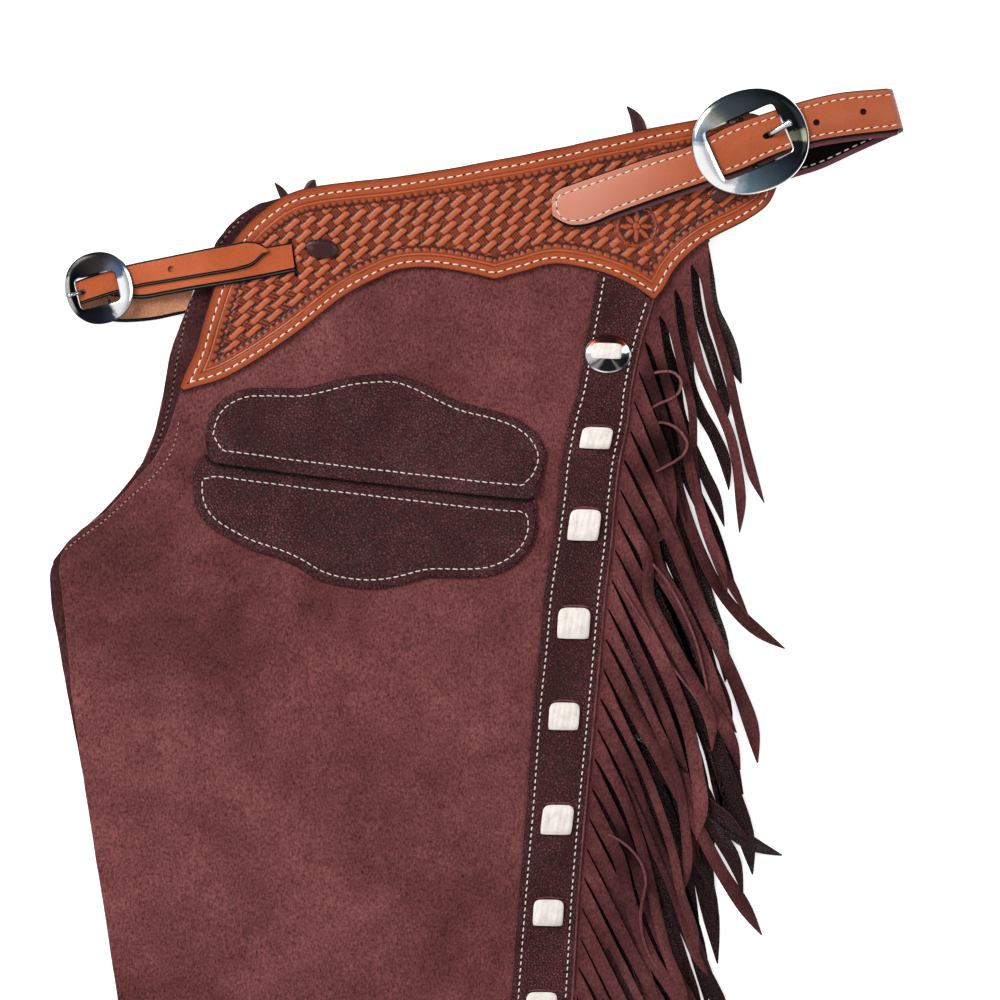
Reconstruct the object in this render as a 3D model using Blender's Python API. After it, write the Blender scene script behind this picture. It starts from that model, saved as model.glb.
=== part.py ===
# Fringed leather chaps, folded in half and laid flat, outside of the left leg up.
#
# Plan sizes are in millimetres on the lay: "across" runs from the front edge to the fringe,
# "down" runs from the waist to the hem. Heights are in millimetres above the floor.
# The whole lay is centred on the world origin at the end, with +Y towards the waist.

import math
import random

import bpy
import bmesh
from mathutils import Vector

# ---------------------------------------------------------------- driving dimensions, mm

MM = 0.001
SEAM_GAP = 0.4            # clearance between pieces that lie on each other
LEG_LEATHER = 2.2         # suede leg panels and fringe headers
YOKE_LEATHER = 3.0
TRIM_LEATHER = 2.2        # trim strips and pockets
HEM = 1066.0              # down to the hem
FRONT_RIM_DROP = 4.2      # the top layer rolls down over the fold by this much
FRONT_RIM_ROLL = 36.0     # width of that roll
HIDDEN_INSET = 12.0       # hidden layers stop this far inside the front edge
HIDDEN_LOFT = 4.4         # two hidden layers
HEM_STAGGER = 3.0         # each layer under the top one ends this much higher
HEADER_INNER = 7.0        # fringe header reaches under the strip by this much
HEADER_OUTER = 2.5        # and past its edge by this much
HEADER_CLEAR = 2.4        # leg panels stop this far from the header

FRINGE_PITCH = 20.0       # root spacing of the strands, which are cut on a slant
FRINGE_WIDTH = 9.4
FRINGE_SLIT = 0.9         # between neighbours at the root
FRINGE_THICKNESS = 1.3
FRINGE_FLOOR = 0.6        # lowest underside of a strand
FRINGE_CLEAR = 0.3        # between strands that cross
FRINGE_LAYER = 1.65       # rise from one laying class to the next
STRAND_TRIES = 40         # lies tried in a layer before a strand moves up
STEEPEST = 0.35           # fall of a strand per millimetre
ROOT_RUN = 16.0           # first stretch, from the slanted root to the square strand
PARALLEL_RUN = 26.0       # neighbours lie parallel this far
TIP_RUN = 19.0            # slanted end
FIELD_CELL = 1.0          # cell of the height field that the strands are laid on
LAYING_ORDER = (0, 2, 1, 3)   # every fourth strand is laid in one go

BELT_LEATHER = 2.0
BELT_LINING = 1.8
STRAP_LEATHER = 2.0
LACE_LEVEL = 7.5          # lace ends come out between the two yokes
LACE_THICKNESS = 1.6

# ---------------------------------------------------------------- tables

# outer edges of the trim strip at each distance down
STRIP = [
    # down, left, right
    (181.0, 398.5, 441.0),
    (204.0, 394.5, 435.0),
    (229.0, 390.0, 427.5),
    (261.0, 384.5, 421.0),
    (281.0, 379.0, 419.0),
    (308.0, 374.0, 413.5),
    (333.0, 371.5, 410.5),
    (363.0, 367.5, 408.0),
    (397.0, 362.5, 404.0),
    (432.0, 359.5, 401.0),
    (470.0, 355.5, 397.5),
    (533.0, 351.0, 391.5),
    (600.0, 345.5, 386.0),
    (667.0, 340.5, 382.0),
    (867.0, 327.0, 368.0),
    (HEM, 313.0, 354.0),
]

# sections of the left leg's front half from the waist to the crotch: front edge point,
# and the point at the outer seam that the section runs to
FRONT_TOP = [
    # front_across, front_down, seam_across, seam_down
    (203.0, 132.5, 455.0, 90.0),
    (180.0, 153.0, 470.0, 108.0),
    (161.0, 176.0, 466.0, 130.0),
    (148.0, 204.0, 455.0, 151.0),
    (137.0, 233.5, 430.0, 181.0),
    (120.5, 261.0, None, 204.0),
    (113.5, 282.5, None, 234.0),
    (102.5, 306.0, None, 276.0),
    (92.0, 317.0, None, 302.0),
    (70.0, 341.5, None, 332.0),
    (50.5, 356.0, None, 358.0),
    (39.5, 371.5, None, 381.0),
    (41.0, 396.5, None, 404.0),
    (44.5, 431.0, None, 436.0),
]

# front edge of the left leg below the crotch
FRONT_LEG = [
    # down, front_across
    (469.0, 48.0),
    (508.0, 53.5),
    (556.0, 60.5),
    (605.0, 68.5),
    (667.0, 78.0),
    (733.0, 87.5),
    (800.0, 96.0),
    (867.0, 103.5),
    (933.0, 110.0),
    (1000.0, 115.5),
    (HEM, 120.0),
]

# the same sections of the right leg's front half, which shows past the left one's edge
UNDER_TOP = [
    # front_across, front_down, seam_across, seam_down
    (190.0, 131.0, 455.0, 90.0),
    (168.5, 137.5, 470.0, 108.0),
    (147.5, 156.0, 466.0, 130.0),
    (135.0, 180.0, 455.0, 151.0),
    (123.0, 208.5, 430.0, 181.0),
    (112.5, 238.0, None, 204.0),
    (106.5, 273.0, None, 234.0),
    (95.5, 306.0, None, 276.0),
    (84.0, 323.0, None, 302.0),
    (64.0, 344.5, None, 332.0),
    (45.0, 361.0, None, 358.0),
    (34.0, 376.0, None, 381.0),
    (33.0, 397.0, None, 404.0),
    (38.0, 427.0, None, 436.0),
]

UNDER_LEG = [
    # down, front_across
    (464.0, 44.5),
    (513.0, 54.0),
    (605.0, 69.5),
    (733.0, 88.5),
    (867.0, 104.5),
    (HEM - HEM_STAGGER, 121.0),
]

# yoke sections from the front tip to the back end: upper outline point, lower outline point
YOKE = [
    # upper_across, upper_down, lower_across, lower_down
    (119.5, 258.5, 121.0, 261.0),
    (123.0, 249.0, 131.0, 258.0),
    (128.5, 237.5, 145.0, 254.0),
    (135.5, 214.5, 168.0, 242.0),
    (141.5, 195.5, 183.5, 232.0),
    (148.5, 177.5, 200.5, 220.0),
    (156.0, 160.5, 217.5, 206.5),
    (165.5, 149.0, 226.5, 199.5),
    (177.0, 139.0, 234.5, 194.5),
    (187.0, 132.0, 243.5, 189.5),
    (198.5, 127.0, 252.0, 185.5),
    (212.0, 124.0, 260.5, 181.5),
    (235.0, 121.0, 272.0, 179.0),
    (258.5, 118.5, 285.5, 178.5),
    (289.0, 114.0, 302.5, 180.5),
    (307.5, 111.0, 318.0, 183.5),
    (320.0, 108.5, 330.0, 186.5),
    (334.0, 106.0, 342.0, 183.0),
    (348.0, 103.5, 351.5, 180.5),
    (362.0, 100.5, 361.0, 177.5),
    (378.0, 97.5, 370.0, 176.0),
    (393.0, 94.0, 381.0, 177.0),
    (408.0, 91.0, 393.5, 179.5),
    (422.0, 88.0, 406.5, 183.5),
    (436.0, 85.0, 421.5, 190.5),
    (452.0, 82.0, 436.0, 200.5),
    (466.0, 79.5, 441.5, 194.0),
    (479.0, 77.0, 450.0, 179.5),
    (492.0, 75.5, 469.5, 161.5),
    (503.0, 76.0, 480.0, 155.5),
    (512.0, 80.0, 498.0, 146.5),
    (518.5, 90.0, 512.5, 135.5),
    (520.5, 104.0, 518.5, 122.5),
]

# flap of the pocket: upper outline and lower outline at each section across
POCKET_FLAP = [
    # upper_across, upper_down, lower_across, lower_down
    (136.5, 291.0, 137.5, 294.5),
    (138.5, 281.0, 142.0, 307.5),
    (142.0, 273.0, 148.0, 309.0),
    (148.0, 266.5, 155.0, 310.0),
    (162.5, 259.5, 170.0, 312.0),
    (180.0, 258.5, 188.0, 314.5),
    (201.0, 258.5, 208.0, 317.0),
    (216.0, 255.5, 225.0, 319.0),
    (231.0, 251.5, 241.0, 321.0),
    (247.5, 249.5, 256.0, 322.5),
    (264.5, 249.5, 272.0, 324.5),
    (278.0, 254.0, 286.0, 326.0),
    (293.0, 261.5, 300.0, 327.5),
    (307.5, 268.0, 312.0, 329.0),
    (332.5, 274.5, 326.0, 330.5),
    (348.0, 281.0, 338.0, 331.5),
    (358.0, 289.5, 346.0, 332.0),
    (364.0, 301.5, 354.0, 331.5),
    (363.0, 314.0, 359.5, 322.5),
]

# pocket below it, its top edge runs under the flap
POCKET = [
    # upper_across, upper_down, lower_across, lower_down
    (128.5, 318.0, 128.5, 326.0),
    (130.0, 310.5, 130.5, 338.0),
    (137.0, 303.0, 137.0, 348.5),
    (146.0, 303.0, 150.5, 358.0),
    (160.0, 305.0, 166.0, 366.0),
    (176.0, 307.0, 184.5, 372.0),
    (195.0, 309.5, 198.0, 378.0),
    (210.0, 311.5, 212.0, 386.5),
    (224.0, 313.0, 231.0, 391.5),
    (246.0, 315.5, 252.5, 392.5),
    (262.0, 317.5, 268.0, 390.0),
    (280.0, 319.5, 284.5, 385.5),
    (300.0, 322.0, 307.5, 385.5),
    (318.0, 324.0, 327.5, 384.0),
    (334.0, 325.5, 341.5, 378.0),
    (346.0, 327.0, 351.0, 370.0),
    (355.0, 330.0, 356.5, 360.5),
    (357.5, 340.0, 358.5, 352.0),
]

# band lengths that show on the strip: centre and the distance down
BAND_CENTRES = [
    # across, down
    (397.5, 292.0),
    (389.5, 350.0),
    (382.5, 415.5),
    (376.0, 477.5),
    (371.5, 546.5),
    (365.5, 608.5),
    (360.5, 671.0),
    (356.0, 734.0),
    (351.5, 797.0),
    (347.0, 860.0),
    (343.0, 923.0),
    (339.0, 986.0),
]
STRIP_STEP = 28.0
BAND_WIDTH = 19.5
BAND_LENGTH = 18.0
BAND_THICKNESS = 1.2
BAND_RISE = 1.6
CONCHO_CENTRE = (405.0, 236.0)
CONCHO_RADII = (15.8, 12.6)
CONCHO_CROWN = 3.2

# belt stations along its outer face: points on its upper and lower edge, height, and the
# tilt of the face (0 = face up, 180 = face down)
BACK_BELT = [
    # upper_across, upper_down, lower_across, lower_down, height, face_tilt
    (367.5, 133.0, 368.5, 145.5, 21.2, 0.0),
    (369.5, 128.5, 374.0, 149.0, 21.2, 0.0),
    (373.5, 125.5, 380.5, 151.5, 21.2, 0.0),
    (379.0, 123.5, 387.5, 151.5, 21.2, 0.0),
    (402.0, 115.5, 412.0, 143.0, 22.2, 0.0),
    (432.0, 105.5, 441.5, 132.5, 24.4, 0.0),
    (461.5, 97.5, 470.5, 122.8, 24.8, 0.0),
    (486.0, 88.3, 493.0, 115.3, 24.8, 0.0),
    (511.0, 78.5, 516.0, 106.0, 24.8, 0.0),
    (534.0, 68.0, 540.0, 96.5, 23.2, 0.0),
    (560.0, 62.0, 568.0, 91.5, 20.5, 0.0),
    (585.0, 59.5, 593.5, 88.5, 18.0, 0.0),
    (592.5, 58.8, 600.0, 87.2, 15.6, 50.0),
    (595.5, 59.2, 603.0, 87.3, 9.6, 90.0),
    (592.5, 60.5, 600.0, 88.6, 3.6, 130.0),
    (583.0, 64.0, 591.0, 92.5, 1.0, 180.0),
    (562.0, 73.0, 571.0, 101.5, 1.0, 180.0),
    (538.0, 84.0, 547.0, 112.5, 2.4, 180.0),
    (517.0, 92.5, 524.5, 119.5, 3.5, 180.0),
    (499.0, 99.5, 506.0, 126.0, 3.5, 180.0),
]
BELT_HOLES = [
    # across, down
    (544.0, 82.0),
    (575.3, 74.7),
]
BELT_HOLE = 4.4

BACK_BUCKLE = (500.0, 94.8)
BACK_BUCKLE_TURN = 17.0
BACK_BUCKLE_OUTER = (39.0, 34.5)
BACK_BUCKLE_WINDOW = (24.5, 16.8)
FRONT_BUCKLE = (66.0, 192.0)
FRONT_BUCKLE_TURN = 14.0
FRONT_BUCKLE_OUTER = (22.8, 24.0)
FRONT_BUCKLE_WINDOW = (14.8, 11.6)

# front billet: from the right yoke, round the buckle and back over the chape to its tip
FRONT_BILLET = [
    # upper_across, upper_down, lower_across, lower_down, height, face_tilt
    (178.6, 166.0, 179.4, 168.5, 21.4, 0.0),
    (173.5, 162.5, 175.0, 171.5, 21.4, 0.0),
    (164.5, 161.0, 168.5, 177.0, 21.4, 0.0),
    (137.0, 166.0, 140.5, 182.0, 21.4, 0.0),
    (124.0, 168.6, 127.0, 184.6, 19.4, 0.0),
    (108.0, 171.7, 111.0, 187.7, 15.9, 0.0),
    (90.0, 175.3, 93.0, 191.3, 13.2, 0.0),
    (73.0, 179.6, 77.0, 195.6, 13.2, 0.0),
    (60.0, 183.8, 64.5, 199.6, 13.2, 0.0),
    (52.0, 186.8, 56.0, 202.4, 13.2, 0.0),
    (47.0, 188.8, 50.5, 204.4, 11.0, 50.0),
    (45.4, 189.6, 48.6, 205.2, 7.1, 90.0),
    (47.0, 190.4, 50.0, 206.0, 3.2, 130.0),
    (53.0, 193.0, 55.0, 208.8, 1.0, 180.0),
    (76.0, 198.5, 75.5, 214.2, 1.0, 180.0),
    (100.0, 197.5, 102.5, 213.0, 1.4, 180.0),
    (119.0, 193.4, 121.5, 208.9, 3.5, 180.0),
]

# front chape: from the slot in the left yoke to the buckle's bar
FRONT_CHAPE = [
    # upper_across, upper_down, lower_across, lower_down, height, face_tilt
    (194.3, 162.0, 196.7, 181.3, 18.9, 0.0),
    (170.0, 166.0, 173.5, 185.5, 18.9, 0.0),
    (136.0, 171.9, 139.5, 191.0, 18.9, 0.0),
    (124.0, 174.0, 127.0, 192.9, 16.9, 0.0),
    (108.0, 176.8, 111.0, 195.6, 13.4, 0.0),
    (90.0, 180.0, 92.6, 198.2, 10.7, 0.0),
    (73.0, 184.3, 75.2, 196.0, 10.6, 0.0),
]

# back chape: the doubled tab that holds the buckle's bar on the yoke
BACK_CHAPE = [
    # upper_across, upper_down, lower_across, lower_down, height, face_tilt
    (460.0, 101.0, 466.0, 119.5, 20.2, 0.0),
    (478.0, 92.5, 485.0, 116.5, 20.2, 0.0),
    (493.6, 88.2, 500.6, 111.2, 20.2, 0.0),
]
BACK_CHAPE_DOUBLED = 3.4

KNOTS = [
    # name, across, down, half_length, half_width, turn
    ("front_knot", 214.7, 166.0, 10.5, 6.2, 0.0),
    ("rear_knot", 480.0, 129.5, 6.5, 4.6, 35.0),
]
LACE_ENDS = [
    # name, root_across, root_down, middle_across, middle_down, tip_across, tip_down, width
    ("lace_end_1", 190.5, 133.0, 187.5, 127.5, 182.8, 121.5, 6.0),
    ("lace_end_2", 206.0, 128.0, 207.5, 123.5, 210.0, 119.5, 9.0),
    ("lace_end_3", 427.5, 92.0, 425.0, 80.5, 418.0, 70.5, 10.0),
]

# top of the fringe's root line, under the back corner of the yoke
FRINGE_TOP = [
    # across, down
    (473.0, 161.0),
    (463.0, 174.0),
    (454.0, 187.0),
    (446.0, 200.0),
    (438.5, 213.0),
]

# strands that are laid one by one, others fall as they come: index from the top, then the
# points that the strand runs through after its first stretches, the last one its tip
LEFT_LAID = {
    0: [(484.0, 243.0), (495.0, 290.0), (507.3, 336.0)],
    1: [(466.0, 240.0), (480.0, 272.0), (491.0, 303.0), (496.3, 355.0)],
    2: [(461.0, 262.0), (461.0, 290.0), (466.0, 334.0), (482.0, 382.0), (502.0, 411.0)],
    3: [(452.0, 275.0), (462.0, 318.0), (472.0, 356.0), (488.0, 396.0)],
    4: [(446.0, 300.0), (460.0, 350.0), (483.0, 398.0), (521.7, 435.0)],
    5: [(445.5, 316.0), (447.0, 340.0), (441.0, 363.0)],
    6: [(444.0, 335.0), (461.0, 385.0), (486.0, 445.0)],
    7: [(447.0, 356.0), (467.0, 405.0), (491.0, 455.0), (509.0, 508.0)],
    8: [(434.0, 369.0), (462.0, 420.0), (488.0, 490.0)],
    9: [(431.0, 393.0), (446.0, 426.0), (470.0, 470.0), (478.0, 500.0)],
    10: [(429.0, 404.0), (447.0, 438.0), (474.0, 470.0), (497.0, 512.0)],
    11: [(441.0, 440.0), (458.0, 482.0), (466.0, 525.0), (468.0, 560.0)],
    12: [(438.0, 462.0), (452.0, 500.0), (461.0, 545.0), (464.0, 585.0)],
    13: [(436.0, 481.0), (450.0, 514.0), (457.0, 552.0), (459.0, 596.0)],
    14: [(442.6, 509.6), (463.5, 548.7), (490.9, 598.0), (511.0, 622.0)],
    15: [(434.0, 524.0), (448.0, 566.0), (456.0, 602.0), (470.0, 640.0)],
    16: [(434.8, 558.0), (448.0, 588.0), (463.5, 631.0), (474.0, 657.0)],
    17: [(429.0, 570.0), (436.0, 602.0), (446.0, 640.0), (462.0, 680.0)],
    18: [(425.0, 583.0), (434.0, 613.0), (450.0, 648.0), (472.0, 690.0)],
    19: [(421.0, 606.0), (434.8, 640.0), (453.0, 668.0), (470.0, 702.0)],
    20: [(424.0, 630.0), (436.0, 668.0), (446.0, 705.0), (452.0, 735.0)],
}
RIGHT_LAID = {
    0: [(484.0, 221.0), (489.5, 237.0), (492.0, 256.0)],
    1: [(474.0, 236.0), (487.0, 280.0)],
    2: [(462.0, 262.0), (480.0, 297.0), (489.0, 326.0)],
    3: [(455.0, 280.0), (471.0, 318.0), (486.0, 350.0)],
    4: [(453.0, 305.0), (475.0, 352.0), (489.0, 398.0)],
    14: [(440.0, 490.0), (470.0, 530.0), (483.0, 545.0)],
    15: [(442.0, 500.0), (472.0, 536.0), (502.0, 558.0)],
    16: [(440.0, 515.0), (478.0, 548.0), (520.0, 574.0)],
}

# ---------------------------------------------------------------- small helpers


def smooth(t):
    t = min(max(t, 0.0), 1.0)
    return t * t * (3.0 - 2.0 * t)


def lerp(a, b, t):
    return a + (b - a) * t


def along(table, key, column):
    """Cubic through a table's column, read at the distance in its first column."""
    rows = table
    if key <= rows[0][0]:
        return rows[0][column]
    if key >= rows[-1][0]:
        return rows[-1][column]
    index = 0
    while rows[index + 1][0] < key:
        index += 1
    x0, x1 = rows[index][0], rows[index + 1][0]
    y0, y1 = rows[index][column], rows[index + 1][column]

    def slope(i):
        i0 = max(i - 1, 0)
        i1 = min(i + 1, len(rows) - 1)
        return (rows[i1][column] - rows[i0][column]) / (rows[i1][0] - rows[i0][0])

    width = x1 - x0
    t = (key - x0) / width
    m0, m1 = slope(index) * width, slope(index + 1) * width
    return ((2 * t ** 3 - 3 * t ** 2 + 1) * y0 + (t ** 3 - 2 * t ** 2 + t) * m0
            + (-2 * t ** 3 + 3 * t ** 2) * y1 + (t ** 3 - t ** 2) * m1)


def strip_left(down):
    return along(STRIP, down, 1)


def strip_right(down):
    return along(STRIP, down, 2)


YOKE_LOWER = [(row[2], row[3]) for row in YOKE]


def yoke_lower(across):
    return along(YOKE_LOWER, across, 1)


def ground(across, down):
    """Height that the pieces underneath lift the lay by: right yoke and right strip."""
    over_yoke = smooth((yoke_lower(across) + 124.0 - down) / 110.0)
    over_strip = smooth((across - strip_left(down) + 92.0) / 80.0)
    return 3.4 * over_yoke + 2.6 * over_strip * (1.0 - over_yoke)


def relief(across, down):
    """Soft unevenness of the upper layers."""
    wave = 0.8 * math.sin(2 * math.pi * (across / 230.0 + down / 620.0) + 0.6)
    wave += 0.6 * math.sin(2 * math.pi * (down / 330.0 - across / 520.0) + 1.9)
    return (wave + 0.6) * smooth((down - 175.0) / 110.0)


def panel_top(across, down):
    """Upper face of the left leg's front half away from its rolled edge."""
    level = 2 * LEG_LEATHER + HIDDEN_LOFT + 2 * SEAM_GAP
    return ground(across, down) + relief(across, down) + level


def on_panel(across, down):
    return panel_top(across, down) + SEAM_GAP


# ---------------------------------------------------------------- mesh building


def new_object(name, points, faces, material):
    mesh = bpy.data.meshes.new(name)
    mesh.from_pydata([(x * MM, -y * MM, z * MM) for x, y, z in points], [], faces)
    mesh.materials.append(material)
    item = bpy.data.objects.new(name, mesh)
    bpy.context.scene.collection.objects.link(item)
    work = bmesh.new()
    work.from_mesh(mesh)
    bmesh.ops.recalc_face_normals(work, faces=work.faces)
    work.to_mesh(mesh)
    work.free()
    mesh.set_sharp_from_angle(angle=math.radians(35))
    return item


def make_material(name, colour, roughness, metallic=0.0):
    material = bpy.data.materials.new(name)
    material.use_nodes = True
    shader = material.node_tree.nodes["Principled BSDF"]
    shader.inputs["Base Color"].default_value = (*colour, 1.0)
    shader.inputs["Roughness"].default_value = roughness
    shader.inputs["Metallic"].default_value = metallic
    return material


def sheet(name, rows, bottom, top, material, groove=0.0):
    """Closed wall over a grid of plan points. A groove runs round the rim between layers."""
    count = len(rows[0])
    points = []
    for level in (bottom, top):
        for r, row in enumerate(rows):
            for c, (across, down) in enumerate(row):
                points.append((across, down, level(r, c, across, down)))
    size = len(rows) * count
    faces = []
    for r in range(len(rows) - 1):
        for c in range(count - 1):
            a = r * count + c
            quad = (a, a + 1, a + count + 1, a + count)
            faces.append(quad)
            faces.append(tuple(size + i for i in reversed(quad)))
    rim = [c for c in range(count)]
    rim += [r * count + count - 1 for r in range(1, len(rows))]
    rim += [(len(rows) - 1) * count + c for c in range(count - 2, -1, -1)]
    rim += [r * count for r in range(len(rows) - 2, 0, -1)]
    if groove:
        centre_x = sum(p[0] for p in points) / len(points)
        centre_y = sum(p[1] for p in points) / len(points)
        inner = {}
        for i in rim:
            x, y, low = points[i]
            high = points[size + i][2]
            reach = math.hypot(centre_x - x, centre_y - y)
            x += (centre_x - x) / reach * groove
            y += (centre_y - y) / reach * groove
            inner[i] = len(points)
            points.append((x, y, (low + high) / 2))
        for i, j in zip(rim, rim[1:] + rim[:1]):
            faces.append((i, j, inner[j], inner[i]))
            faces.append((inner[i], inner[j], size + j, size + i))
    else:
        for i, j in zip(rim, rim[1:] + rim[:1]):
            faces.append((i, j, size + j, size + i))
    return new_object(name, points, faces, material)


def grid(sections, fractions):
    """Rows of plan points between the two ends of each section."""
    rows = []
    for x0, y0, x1, y1 in sections:
        rows.append([(lerp(x0, x1, f), lerp(y0, y1, f)) for f in fractions])
    return rows


def ribbon(name, stations, start, thickness, material):
    """Strap through stations of edge points, start mm inside its outer face."""
    middles = []
    for row in stations:
        middles.append(Vector(((row[0] + row[2]) / 2, (row[1] + row[3]) / 2, row[4])))
    points = []
    for index, row in enumerate(stations):
        ahead = middles[min(index + 1, len(stations) - 1)]
        behind = middles[max(index - 1, 0)]
        forward = (ahead - behind).normalized()
        tilt = math.radians(row[5]) if len(row) > 5 else 0.0
        flat = Vector((forward.x, forward.y, 0.0)).normalized()
        if math.cos(tilt) < -0.2:
            flat = -flat
        elif abs(math.cos(tilt)) <= 0.2:
            flat = Vector((row[0] - row[2], row[1] - row[3], 0.0)).cross(Vector((0, 0, 1)))
            flat = -flat.normalized()
            if flat.dot(middles[0] - middles[len(stations) // 2]) > 0:
                flat = -flat
        away = flat if flat.dot(middles[len(stations) // 2] - middles[0]) > 0 else -flat
        outward = Vector((0, 0, math.cos(tilt))) + away * math.sin(tilt)
        for depth in (start, start + thickness):
            shift = -outward * depth
            points.append((row[0] + shift.x, row[1] + shift.y, row[4] + shift.z))
            points.append((row[2] + shift.x, row[3] + shift.y, row[4] + shift.z))
    faces = []
    for index in range(len(stations) - 1):
        a = index * 4
        b = a + 4
        faces.append((a, a + 1, b + 1, b))
        faces.append((a + 2, b + 2, b + 3, a + 3))
        faces.append((a, b, b + 2, a + 2))
        faces.append((a + 1, a + 3, b + 3, b + 1))
    last = (len(stations) - 1) * 4
    faces.append((0, 2, 3, 1))
    faces.append((last, last + 1, last + 3, last + 2))
    return new_object(name, points, faces, material)


def rod_mesh(path, radii, sides, flatten=1.0):
    """Points and faces of a round bar along a path in lay millimetres."""
    points = []
    faces = []
    count = len(path)
    for index, spot in enumerate(path):
        spot = Vector(spot)
        ahead = Vector(path[min(index + 1, count - 1)])
        behind = Vector(path[max(index - 1, 0)])
        forward = (ahead - behind).normalized()
        up = Vector((0, 0, 1))
        if abs(forward.z) > 0.95:
            up = Vector((1, 0, 0))
        side = forward.cross(up).normalized()
        up = side.cross(forward)
        for k in range(sides):
            angle = 2 * math.pi * (k + 0.5) / sides
            reach = side * math.cos(angle) + up * math.sin(angle) * flatten
            points.append(tuple(spot + reach * radii[index]))
    for index in range(count - 1):
        for k in range(sides):
            a = index * sides + k
            b = index * sides + (k + 1) % sides
            faces.append((a, b, b + sides, a + sides))
    faces.append(tuple(range(sides)))
    faces.append(tuple((count - 1) * sides + k for k in reversed(range(sides))))
    return points, faces


def apply_boolean(item, other, operation):
    modifier = item.modifiers.new("cut", "BOOLEAN")
    modifier.operation = operation
    modifier.solver = "EXACT"
    modifier.object = other
    bpy.context.view_layer.update()
    graph = bpy.context.evaluated_depsgraph_get()
    result = bpy.data.meshes.new_from_object(item.evaluated_get(graph))
    item.modifiers.clear()
    item.data = result
    bpy.data.objects.remove(other)


def punch(item, across, down, width, length, turn, low=-5.0):
    """Cut an upright oval hole through a strap, down to the height low."""
    sides = 10
    points = []
    for z in (low, 40.0):
        for k in range(sides):
            angle = 2 * math.pi * k / sides
            u = length / 2 * math.cos(angle)
            v = width / 2 * math.sin(angle)
            x = across + u * math.cos(turn) + v * math.sin(turn)
            y = down - u * math.sin(turn) + v * math.cos(turn)
            points.append((x, y, z))
    faces = [(k, (k + 1) % sides, sides + (k + 1) % sides, sides + k) for k in range(sides)]
    faces.append(tuple(range(sides)))
    faces.append(tuple(sides + k for k in reversed(range(sides))))
    cutter = new_object("cutter", points, faces, item.data.materials[0])
    apply_boolean(item, cutter, "DIFFERENCE")


# ---------------------------------------------------------------- leg panels

FRONT_FRACTIONS = (0.0, 0.015, 0.045, 0.09, 0.16, 0.27, 0.4, 0.54, 0.67, 0.78, 0.89, 1.0)
UNDER_FRACTIONS = (0.0, 0.03, 0.12, 0.27, 0.42, 0.56, 0.67, 0.78, 0.89, 1.0)


def seam_edge(down):
    return strip_right(down) - HEADER_INNER - HEADER_CLEAR


def leg_sections(top, leg, hem_rise=0.0):
    sections = []
    for front_across, front_down, seam_across, seam_down in top:
        if seam_across is None:
            seam_across = seam_edge(seam_down)
        sections.append((front_across, front_down, seam_across, seam_down))
    for down, front_across in leg:
        seam_down = min(down, HEM - hem_rise)
        sections.append((front_across, min(down, HEM - hem_rise), seam_edge(seam_down), seam_down))
    return sections


def in_between(sections):
    """Adds a section halfway between each two, on a smooth line through the ends."""
    rows = []
    last = len(sections) - 1
    for index in range(last):
        s0 = sections[max(index - 1, 0)]
        s1, s2 = sections[index], sections[index + 1]
        s3 = sections[min(index + 2, last)]
        rows.append(s1)
        rows.append(tuple((-a + 9 * b + 9 * c - d) / 16 for a, b, c, d in zip(s0, s1, s2, s3)))
    rows.append(sections[last])
    return rows


def rolled(row, across, down):
    """How far the top layer has rolled down at this point of its row."""
    front_across, front_down = row[0]
    reach = math.hypot(across - front_across, down - front_down)
    below_yoke = smooth((front_down - 268.0) / 70.0)
    return FRONT_RIM_DROP * (1.0 - smooth(reach / FRONT_RIM_ROLL)) * below_yoke


def make_legs(suede, suede_dark):
    sections = leg_sections(FRONT_TOP, FRONT_LEG)
    upper = len(FRONT_TOP)
    sections = in_between(sections[:upper]) + sections[upper:]
    rows = grid(sections, FRONT_FRACTIONS)

    def front_high(r, c, across, down):
        return panel_top(across, down) - rolled(rows[r], across, down)

    def front_low(r, c, across, down):
        return front_high(r, c, across, down) - LEG_LEATHER

    sheet("leg_left_front", rows, front_low, front_high, suede)

    outer_sections = leg_sections(FRONT_TOP, FRONT_LEG)
    inner_sections = []
    for x0, y0, x1, y1 in outer_sections:
        inset = HIDDEN_INSET / math.hypot(x1 - x0, y1 - y0)
        inner_sections.append((lerp(x0, x1, inset), lerp(y0, y1, inset), x1 - 1.0, y1))
    x0, y0, x1, y1 = inner_sections[-1]
    inner_sections[-1] = (x0, y0 - HEM_STAGGER, x1, y1 - HEM_STAGGER)
    inner_rows = grid(inner_sections, (0.0, 0.02, 0.06, 0.13, 0.27, 0.42, 0.56, 0.67, 0.78, 0.89, 1.0))
    outer_rows = grid(outer_sections, (0.0, 1.0))

    def hidden_high(r, c, across, down):
        roll = rolled(outer_rows[r], across, down)
        return panel_top(across, down) - roll - LEG_LEATHER - 1.5 * SEAM_GAP

    def hidden_low(r, c, across, down):
        return ground(across, down) + LEG_LEATHER + 2 * SEAM_GAP

    sheet("leg_backs_folded", inner_rows, hidden_low, hidden_high, suede_dark, groove=2.0)

    under_rows = grid(leg_sections(UNDER_TOP, UNDER_LEG, HEM_STAGGER), UNDER_FRACTIONS)

    def under_low(r, c, across, down):
        return ground(across, down)

    def under_high(r, c, across, down):
        return ground(across, down) + LEG_LEATHER

    sheet("leg_right_front", under_rows, under_low, under_high, suede_dark)


# ---------------------------------------------------------------- yokes and trim strips


def make_yokes(tooled, plain):
    rows = grid(YOKE, (0.0, 0.12, 0.34, 0.66, 0.88, 1.0))

    def low(r, c, across, down):
        return on_panel(across, down)

    def high(r, c, across, down):
        return on_panel(across, down) + YOKE_LEATHER

    sheet("yoke_left", rows, low, high, tooled)
    sheet("yoke_right", grid(YOKE[::2], (0.0, 0.5, 1.0)), lambda *a: 0.0,
          lambda *a: YOKE_LEATHER, plain)


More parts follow.
